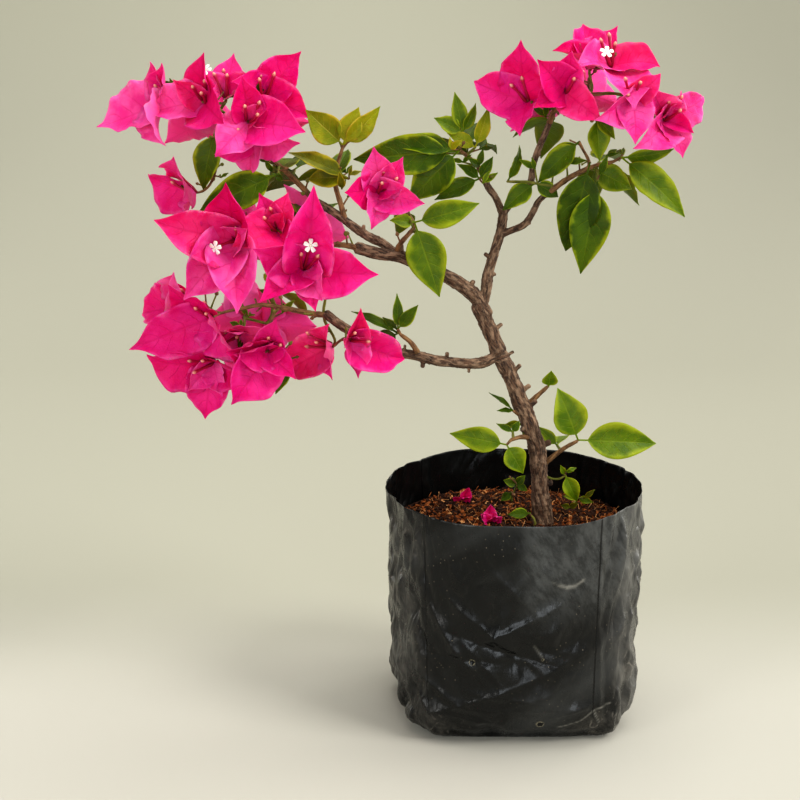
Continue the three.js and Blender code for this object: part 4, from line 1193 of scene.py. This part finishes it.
def glint_strength_at(points):
    """How strongly each point of the film is painted with a pale highlight, from 0 to 1."""
    pale_share = np.zeros(points.shape[:-1])
    for x1, z1, x2, z2, width, paleness in PAINTED_GLINTS:
        along = vec(x2 - x1, z2 - z1)
        off = points[..., [0, 2]] - vec(x1, z1)
        share = np.clip(off @ along / (along @ along), 0, 1)
        gap = np.linalg.norm(off - share[..., None] * along, axis=-1)
        pale_share = np.maximum(pale_share, paleness * hill(gap, width))
    return pale_share * (points[..., 1] < 0)


FOOT_RADIUS, RIM_RADIUS = 62, 80  # turn an angle into millimetres along the foot or the rim
PINCHED = [(0.76, 5.0, 22), (-0.7, 3.5, 28)]  # folded corners: angle, how far out, how high up they fade


def film_point(angle, height, inward):
    """Places on the film; inward is how far a face stands in from the outer one."""
    half = np.interp(height, heights, half_widths) - inward
    power = 2 + 2 * np.interp(height, heights, squares)
    c, s = np.sin(angle), -np.cos(angle)
    reach = half / (np.abs(c) ** power + np.abs(s) ** power) ** (1 / power)
    fade = np.clip(height / 4, 0, 1)
    reach = reach + film_relief(angle, height) * fade * (inward < 4) * (1 if inward < 1.5 else 0.6)
    for at, out, top in PINCHED:
        fold = out * crease((angle - at) * FOOT_RADIUS, 4) * np.clip(1 - height / top, 0, 1)
        reach = reach + fold * (inward < 1.5)
    near_rim = np.clip((height - MIX_TOP) / (BAG_HEIGHT - MIX_TOP), 0, 1)
    waves = 0.7 * np.sin(angle * 3 + 1.0) + 0.5 * np.sin(angle * 7 + 2.0)
    waves += 1.6 * crease((angle - 1.48) * RIM_RADIUS, 5)
    rise = near_rim * (RIM_RISE * (1 + s * half / BAG_RADIUS) / 2 + waves)
    dents = 0.9 * np.sin(angle * 4 + 0.5) - 2.2 * crease((angle + 1.25) * RIM_RADIUS, 4)
    reach = reach + near_rim**2 * dents
    return np.stack([c * reach, s * reach, height + rise], -1)


# %% The film as one closed loft
angles = np.linspace(0, 2 * np.pi, AROUND, endpoint=False)
wide = np.where(angles > np.pi, angles - 2 * np.pi, angles)
INSIDE = 300  # the UV spot's second number counts down from here on the inner face
BASE_SHARES = (0.01, 0.3, 0.6, 0.85, 0.95)
outer_heights = np.concatenate([[0.0, 0.5, 1.2, 2.2], np.linspace(3.5, BAG_HEIGHT, 134)])
seen_inside = np.linspace(BAG_HEIGHT, 112, 32)
HIDDEN = [(100, 9), (60, 9), (26, 9), (10, 8), (FILM, 8)]  # height, and how far in: clear of every crumple
inner_rows = [*((height, FILM) for height in seen_inside), *HIDDEN]


def ring_at(height, inward, share=1.0):
    """One ring of the film, drawn in towards the middle by share."""
    return film_point(wide, np.full(AROUND, float(height)), inward) * vec(share, share, 1)


def floor_rings(shares, inward, level):
    return [ring_at(0, inward, share) + vec(0, 0, level) for share in shares]


rows = floor_rings(BASE_SHARES, 0.0, 0.0)
rows += [ring_at(height, 0.0) for height in outer_heights]
rows.append(ring_at(BAG_HEIGHT, FILM / 2) + vec(0, 0, FILM / 2))
rows += [ring_at(height, inward) for height, inward in inner_rows]
rows += floor_rings(BASE_SHARES[::-1], HIDDEN[-1][1], FILM)
levels = [60 * (share - 1) for share in BASE_SHARES]
levels += [*outer_heights, BAG_HEIGHT + 0.2]
levels += [INSIDE - height for height, _ in inner_rows]
levels += [INSIDE + 60 * (1 - share) for share in reversed(BASE_SHARES)]
film = Heap()
ring_rows = np.array(rows)
film.loft(ring_rows, np.stack(np.broadcast_arrays(wide * BAG_RADIUS, np.array(levels)[:, None]), -1))
# How strongly a pale painted highlight lies on each point of the film.
glint_strength = glint_strength_at(ring_rows)
crumples = film_relief(*np.meshgrid(wide, outer_heights))
print("film rows:", len(rows), "crumples:", round(crumples.min(), 1), "to", round(crumples.max(), 1), "mm")

# %% The film's finish: gloss, wrinkles, dust, painted glints along creases, a painted sheen and painted light on the flanks
HOLES = [(-29.2, 58.0, 1.2), (13.5, 60.0, 0.6), (13.3, 14.5, 1.7)]  # across, height, radius of a drain hole


def film_finish():
    finish = Finish("bag_film", Specular_IOR_Level=0.28)
    times, plus, minus, ramp = finish.times, finish.plus, finish.minus, finish.ramp
    place = finish.place()
    x, y, z = finish.node("SeparateXYZ", {0: place}).outputs
    off_centre = finish.size_of(x)
    outside = finish.math("LESS_THAN", finish.spot()[1], BAG_HEIGHT + 1.0)
    front = finish.math("LESS_THAN", y, 0.0)
    leant = [
        finish.node("VectorRotate", {"Vector": place, "Angle": angle}, rotation_type="Y_AXIS").outputs[0]
        for angle in (0.6, -0.5)
    ]
    drape = finish.noise(stretched(finish, place, (70.0, 70.0, 20.0)), 1.0, 5.0)
    dusty = finish.noise(place, 30.0, 6.0, 0.7)
    powder = finish.noise(stretched(finish, leant[0], (150.0, 150.0, 60.0)), 1.0, 6.0, 0.7)
    specks = finish.node("TexVoronoi", {"Vector": place, "Scale": 300.0})
    wrinkles = []
    for turned, scale in zip(leant, ((75.0, 75.0, 22.0), (120.0, 120.0, 36.0))):
        line = finish.noise(stretched(finish, turned, scale), 1.0, 1.0, 0.4)
        wrinkles.append(finish.size_of(minus(line, 0.5)))
    wrinkles = plus(*wrinkles)

    side = ramp(off_centre, 0.052, 0.08)
    low = times(ramp(z, 0.03, 0.004), ramp(off_centre, 0.02, 0.06))
    # Dust lies on the flanks and at the foot, and is laid on up to 1.7 times as thick towards the right:
    # painted light on the side that the key lights. Its pale lines along the wrinkle ridges are painted
    # glints.
    pale_share = times(plus(finish.math("MAXIMUM", side, low), 0.05), ramp(x, 0.0, 0.06, (1.0, 1.7)))
    dust_and_painted_light = times(ramp(dusty, 0.3, 0.75, (0.3, 1.0)), ramp(powder, 0.35, 0.75), pale_share, 0.55)
    dust_and_painted_light = plus(dust_and_painted_light, times(ramp(wrinkles, 0.05, 0.01), pale_share, 0.42))
    speck = times(ramp(specks.outputs["Distance"], 0.14, 0.08), ramp(dusty, 0.5, 0.62), 0.4)
    haze = ramp(finish.noise(stretched(finish, leant[0], (9.0, 9.0, 26.0)), 1.0, 3.0, 0.5), 0.5, 0.72)
    # The sheen lightens the upper right of the front: a painted reflection of the key light, laid on with the
    # haze.
    sheen = times(ramp(x, -0.006, 0.008), ramp(z, 0.075, 0.11), ramp(powder, 0.36, 0.62, (0.3, 1.0)))
    haze_and_painted_sheen = plus(times(haze, 0.42), times(sheen, 0.85))
    # Both flanks are lightened, the right one about three times as much: painted light where the film faces
    # the lamps at a slant.
    painted_flank_light = times(side, ramp(x, 0.0, 0.06, (0.28, 0.85)), ramp(drape, 0.38, 0.62, (0.2, 1.0)))
    coats = [
        (dust_and_painted_light, (0.2, 0.18, 0.152)), (speck, (0.3, 0.25, 0.18)), (haze_and_painted_sheen, (0.065, 0.067, 0.065)),
        (painted_flank_light, (0.125, 0.122, 0.112)),
    ]
    colour = (0.003, 0.0033, 0.0031)
    for coat, tone in coats:
        colour = finish.mix(times(coat, outside), colour, tone)
    # Pale painted highlights along creases, read from the film's point attribute.
    painted_glint = finish.node("Attribute", {}, attribute_name="painted_glint").outputs["Fac"]
    colour = finish.mix(times(painted_glint, ramp(dusty, 0.35, 0.6, (0.35, 1.0))), colour, (0.4, 0.38, 0.33))

    fold = 0.0
    for start, lean in FOLD_LINES:
        gap = finish.size_of(minus(x, plus(times(z, lean), start * MM)))
        fold = finish.math("MAXIMUM", fold, ramp(gap, 0.0007, 0.0003))
    fold = times(fold, ramp(z, 0.018, 0.026))
    colour = finish.mix(times(fold, 0.85), colour, (0.001, 0.001, 0.001))
    frayed = finish.noise(place, 700.0, 2.0)
    for across, height, radius in HOLES:
        inputs = {0: stretched(finish, place, (1.0, 0.0, 1.0)), 1: (across * MM, 0, height * MM)}
        away = finish.node("VectorMath", inputs, operation="DISTANCE").outputs["Value"]
        ragged = plus(away, times(minus(frayed, 0.5), 0.0022))
        ring = times(ramp(ragged, radius * 1.8 * MM, radius * 1.4 * MM), front)
        ring = times(ring, ramp(frayed, 0.4, 0.6, (0.1, 0.6)))
        hole = times(ramp(ragged, radius * 1.15 * MM, radius * MM), front)
        colour = finish.mix(hole, finish.mix(ring, colour, (0.34, 0.3, 0.2)), (0.0002, 0.0002, 0.0002))
        fold = finish.math("MAXIMUM", fold, hole)
    finish.set(Base_Color=colour, Roughness=ramp(dusty, 0.3, 0.75, (0.2, 0.42)))
    height = plus(times(drape, 2.2), times(wrinkles, plus(times(side, 4.6), 1.4)))
    finish.bump(minus(height, fold), 0.001, 0.6)
    return finish.material


bag = film.piece("film_bag", [film_finish()])
# The pale painted highlights along creases ride on the film as a point attribute.
bag.data.attributes.new("painted_glint", "FLOAT", "POINT").data.foreach_set("value", glint_strength.ravel())
finished(bag, "bag_film", "grow_bag")

# %% [markdown]
# ## The compost
# The mix is coir: reddish-brown fibres, dust and chips. A bumpy surface alone looks like mud,
# because the eye looks for single crumbs. Geometry Nodes scatter them: points on the surface, a
# crumb, chip or fibre on each, turned and scaled by chance, then made real so that the export
# keeps them.

# %% The surface of the mix


def mix_finish(name, dark, light, size=240.0):
    finish = Finish(name, Roughness=0.9, Specular_IOR_Level=0.2)
    patch = finish.noise(finish.place(), size, 4.0)
    finish.set(Base_Color=finish.mix(finish.ramp(patch, 0.35, 0.7), dark, light))
    finish.bump(patch, 0.0012, 1.0)
    return finish.material


MIX_CLEAR = 1.55
MIX_ROWS = 60
levels = (MIX_CLEAR, 3, 10, 26, 60, 105, MIX_TOP - 1.5)
rows = [ring_at(MIX_CLEAR, 10, share) for share in (0.01, 0.5)]
rows += [ring_at(level, 3 if level > 110 else 10) for level in levels]
outer = rows[-1]
for share in np.linspace(0.985, 0.01, MIX_ROWS):
    ring = outer * vec(share, share, 1)
    bumps = [noise.noise(Vector(p / 9)) * 1.4 + noise.noise(Vector(p / 2.6)) * 0.9 for p in ring]
    ring[:, 2] = MIX_TOP - 0.6 + np.array(bumps) * min(1, (1 - share) * 12)
    rows.append(ring)
mix = Heap()
mix.loft(np.array(rows), np.zeros((len(rows), AROUND, 2)))
mix_body = mix.piece("mix_body", [mix_finish("mix_dark", (0.016, 0.006, 0.003), (0.055, 0.019, 0.008))])
finished(mix_body, "potting_mix", "potting_mix")

# %% The scatter tree


def scatter_tree():
    tree = bpy.data.node_groups.new("scatter", "GeometryNodeTree")
    sockets = {
        "Surface": "Geometry", "Crumb": "Object", "Per square metre": "Float", "Smallest": "Float",
        "Largest": "Float", "Tilt": "Float", "Seed": "Int", "Finish": "Material",
    }
    for name, kind in sockets.items():
        tree.interface.new_socket(name=name, in_out="INPUT", socket_type="NodeSocket" + kind)
    tree.interface.new_socket(name="Crumbs", in_out="OUTPUT", socket_type="NodeSocketGeometry")
    kinds = (
        "NodeGroupInput", "NodeGroupOutput", "GeometryNodeDistributePointsOnFaces", "GeometryNodeObjectInfo",
        "GeometryNodeInstanceOnPoints", "GeometryNodeRealizeInstances", "GeometryNodeSetMaterial",
        "FunctionNodeRandomValue", "FunctionNodeRandomValue", "ShaderNodeVectorMath", "ShaderNodeCombineXYZ",
    )
    given, result, spread, source, place, real, paint, size, turn, back, tilt = map(tree.nodes.new, kinds)
    turn.data_type = "FLOAT_VECTOR"
    back.operation = "SCALE"
    back.inputs["Scale"].default_value = -1.0
    tilt.inputs["Z"].default_value = math.pi
    wires = [  # from a node's output to a node's input
        (given, "Surface", spread, "Mesh"), (given, "Per square metre", spread, "Density"),
        (given, "Seed", spread, "Seed"), (given, "Crumb", source, "Object"), (given, "Tilt", tilt, "X"),
        (given, "Tilt", tilt, "Y"), (tilt, 0, back, 0), (back, 0, turn, "Min"), (tilt, 0, turn, "Max"),
        (given, "Seed", turn, "Seed"), (given, "Smallest", size, 2), (given, "Largest", size, 3),
        (given, "Seed", size, "Seed"), (spread, "Points", place, "Points"),
        (source, "Geometry", place, "Instance"), (turn, 0, place, "Rotation"), (size, 1, place, "Scale"),
        (place, 0, real, 0), (real, 0, paint, "Geometry"), (given, "Finish", paint, "Material"),
        (paint, 0, result, 0),
    ]
    for start, output, end, socket in wires:
        tree.links.new(start.outputs[output], end.inputs[socket])
    return tree


def scattered(name, tree, surface, values):
    """Runs the tree on a surface and keeps what it made as a plain mesh."""
    modifier = surface.modifiers.new(name, "NODES")
    modifier.node_group = tree
    for item in tree.interface.items_tree:
        if item.in_out == "INPUT" and item.name in values:
            modifier[item.identifier] = values[item.name]
    evaluated = surface.evaluated_get(bpy.context.evaluated_depsgraph_get())
    mesh = bpy.data.meshes.new_from_object(evaluated)
    surface.modifiers.clear()
    mesh.name = name
    return placed(name, mesh)


# %% Crumbs, chips and fibres


def from_bmesh(name, bm):
    mesh = bpy.data.meshes.new(name)
    bm.to_mesh(mesh)
    bm.free()
    return placed(name, mesh)


def patch_of_mix(radius, height):
    """A flat disc, only used to scatter on."""
    bm = bmesh.new()
    bmesh.ops.create_circle(bm, cap_ends=True, segments=64, radius=radius * MM)
    bmesh.ops.translate(bm, verts=bm.verts, vec=(0, 0, height * MM))
    return from_bmesh("mix_patch", bm)


def crumb(name, stretch):
    """A twenty-sided lump of one millimetre, knocked out of shape."""
    bm = bmesh.new()
    bmesh.ops.create_icosphere(bm, subdivisions=1, radius=0.5 * MM)
    for i, vertex in enumerate(bm.verts):
        vertex.co *= 1 + 0.35 * wobble(i + len(name))
        vertex.co = Vector(vertex.co[k] * stretch[k] for k in range(3))
    return from_bmesh(name, bm)


FIBRE_RADIUS = 0.17


def fibre(name, bow):
    """A strand of ten millimetres, a little bent."""
    heap = Heap()
    t = np.linspace(0, 1, 6)
    route = np.stack([(t - 0.5) * 10, bow * np.sin(np.pi * t), bow * 0.4 * np.sin(2 * np.pi * t)], -1)
    tube(heap, route, FIBRE_RADIUS, sides=4)
    return heap.piece(name, [])


tree = scatter_tree()
ground = patch_of_mix(74, MIX_TOP)
lump, chip = crumb("lump", (1, 1, 0.8)), crumb("chip", (2.4, 1.2, 0.45))
bent, straight = fibre("strand", 1.6), fibre("short_strand", 0.6)
coir_dark = mix_finish("coir_dark", (0.013, 0.005, 0.0025), (0.055, 0.017, 0.006), 600.0)
coir_mid = mix_finish("coir_mid", (0.15, 0.038, 0.008), (0.4, 0.125, 0.03), 600.0)
coir_pale = mix_finish("coir_pale", (0.42, 0.175, 0.055), (0.7, 0.39, 0.17), 600.0)
LAYERS = [  # name, source, how many per square metre, smallest, largest, tilt, finish
    ("lumps_dark", lump, 90000, 1.2, 4.6, 3.1, coir_dark),
    ("lumps_red", lump, 26000, 1.0, 3.8, 3.1, coir_mid),
    ("chips_red", chip, 22000, 0.9, 3.0, 1.2, coir_mid),
    ("chips_pale", chip, 12000, 0.6, 2.5, 1.2, coir_pale),
    ("fibres_red", bent, 26000, 0.5, 1.5, 0.8, coir_mid),
    ("fibres_pale", straight, 18000, 0.4, 1.5, 1.0, coir_pale),
]
for i, (name, source, density, smallest, largest, tilt, finish) in enumerate(LAYERS):
    values = {
        "Crumb": source, "Per square metre": float(density), "Smallest": smallest,
        "Largest": largest, "Tilt": tilt, "Seed": i + 1, "Finish": finish,
    }
    finished(scattered(name, tree, ground, values), "potting_mix")
for helper in (ground, lump, chip, bent, straight):
    bpy.data.objects.remove(helper)

# %% [markdown]
# ## What lies on the mix
# Two spent flower heads have dropped and dried into small crumpled cups. They tell the eye that the
# plant has flowered for weeks. They reuse the blade, with a rounder outline and deep ruffles.

# %% Fallen bracts
FALLEN = {  # place, shade, then azimuth, elevation and length of each bract
    "fallen_bract_front": (vec(-16, -3, MIX_TOP), PLAIN, ((-80, 42, 11), (170, 74, 14), (85, 38, 12))),
    "fallen_bract_left": (vec(-31, 44, MIX_TOP), DARK, ((-85, 28, 9), (120, 66, 12), (60, 40, 10))),
}


def spent_outline(t):
    return np.sin(np.pi * t**0.66) ** 0.5


for i, (name, (point, shade, bracts)) in enumerate(FALLEN.items()):
    heap = Heap()
    for k, (azimuth, elevation, length) in enumerate(bracts):
        way = heading(azimuth, elevation)
        face = spun(perpendicular(vec(0, -1, 0.4), way), way, 25 * wobble(i + 3 * k))
        blade(heap, point + vec(0, 0, 0.5), way, face, length, length * BRACT_WIDTH, spent_outline,
              700 + 9 * i + k, 0, droop=-0.5, fold=0.5, cup=0.3, ruffle=0.09, curl=-0.8, across=12, thick=0.25)
    finished(heap.piece(f"{name}_shape", [BRACTS[shade]]), "bract", name)

# %% [markdown]
# ## Studio
# The plant stands on a pale sweep: floor and wall in one curve, so that no line shows behind it.
# Soft light comes from large panels. The key is high at the front right, a fill and a window-like
# panel lighten the front, a side and two rim panels edge the film and the bracts, and a wide glow
# hangs overhead. The panels' size sets how soft the shadow is.

# %% Sweep


def sweep_finish():
    finish = Finish("sweep", Roughness=0.85, Specular_IOR_Level=0.2)
    cloud = finish.noise(finish.place(), 0.8, 2.0)
    x, y, z = finish.node("SeparateXYZ", {0: finish.place()}).outputs
    colour = finish.mix(cloud, (0.485, 0.47, 0.418), (0.505, 0.49, 0.433))
    # The floor darkens towards the back and the front, and the wall upwards and to the right: painted shade
    # for the lamps' fall-off.
    colour = finish.mix(finish.ramp(y, -0.04, 0.24), colour, (0.38, 0.373, 0.308))
    colour = finish.mix(finish.ramp(z, 0.0, 1.6), colour, (0.355, 0.352, 0.265))
    colour = finish.mix(finish.ramp(x, -0.3, 0.7, (0.0, 0.22)), colour, (0.0, 0.0, 0.0))
    finish.set(Base_Color=finish.mix(finish.ramp(y, -0.2, -0.8), colour, (0.38, 0.37, 0.325)))
    return finish.material


def sweep(width, front, back, bend, top):
    """A floor that curves up into a wall."""
    t = np.linspace(0, math.pi / 2, 24)
    section = [(front, 0.0)]
    section += [(back + bend * math.sin(a), bend - bend * math.cos(a)) for a in t]
    section.append((back + bend, top))
    mesh = bpy.data.meshes.new("studio_sweep")
    points = [(x, y, z) for y, z in section for x in (-width / 2, width / 2)]
    faces = [(2 * i, 2 * i + 1, 2 * i + 3, 2 * i + 2) for i in range(len(section) - 1)]
    mesh.from_pydata(points, [], faces)
    mesh.polygons.foreach_set("use_smooth", [True] * len(faces))
    mesh.materials.append(sweep_finish())
    return placed("studio_sweep", mesh)


sweep(9.0, -3.0, 1.0, 1.4, 4.5)

# %% Lights and camera
PANELS = [  # name, place, what it faces, width and height, watts, colour
    ("key", (2.8, -1.5, 3.0), (-0.05, 0, 0.25), (1.5, 1.5), 108, (1.0, 0.98, 0.94)),
    ("side", (1.8, 0.3, 0.6), (0, 0, 0.2), (0.6, 1.0), 9, (1.0, 0.97, 0.93)),
    ("rim", (1.3, 1.1, 0.45), (0, 0, 0.08), (0.5, 0.9), 6.5, (1.0, 0.98, 0.95)),
    ("left_rim", (-1.3, 1.1, 0.4), (0, 0, 0.08), (0.4, 0.8), 2.8, (1.0, 0.98, 0.95)),
    ("window", (0.2, -2.4, 0.55), (0.2, 0, 0.55), (1.3, 0.8), 18, (0.88, 0.94, 1.0)),
    ("fill", (-1.8, -1.6, 0.9), (-0.05, 0, 0.25), (0.7, 0.9), 13, (1.0, 1.0, 0.97)),
    ("overhead", (0.2, 0.4, 2.4), (0, 0.1, 0), (2.4, 2.4), 48, (1.0, 0.99, 0.95)),
]
for name, place, aim, size, power, colour in PANELS:
    light = bpy.data.lights.new(name, "AREA")
    light.shape = "RECTANGLE"
    light.size, light.size_y = size
    light.energy = power
    light.color = colour
    lamp = placed(name, light)
    lamp.location = place
    lamp.rotation_euler = (Vector(aim) - Vector(place)).to_track_quat("-Z", "Y").to_euler()
world = bpy.data.worlds.new("studio_air")
world.use_nodes = True
background = world.node_tree.nodes["Background"]
background.inputs["Strength"].default_value = 0.46
background.inputs["Color"].default_value = (0.86, 0.85, 0.8, 1)
bpy.context.scene.world = world

LENS, SENSOR = 70, 36  # millimetres
LOOKS_DOWN = 13.7  # degrees
camera_data = bpy.data.cameras.new("camera")
camera_data.lens = LENS
camera_data.sensor_width = SENSOR
camera = placed("camera", camera_data)
camera.location = (-0.0727, -0.9504, 0.4346)
camera.rotation_euler = (math.radians(90 - LOOKS_DOWN), 0, 0)
bpy.context.scene.camera = camera
view = bpy.context.scene.view_settings
view.view_transform = "Standard"
view.look = "Medium High Contrast"
view.exposure = -0.03
print(len(PANELS), "panels and a camera placed")
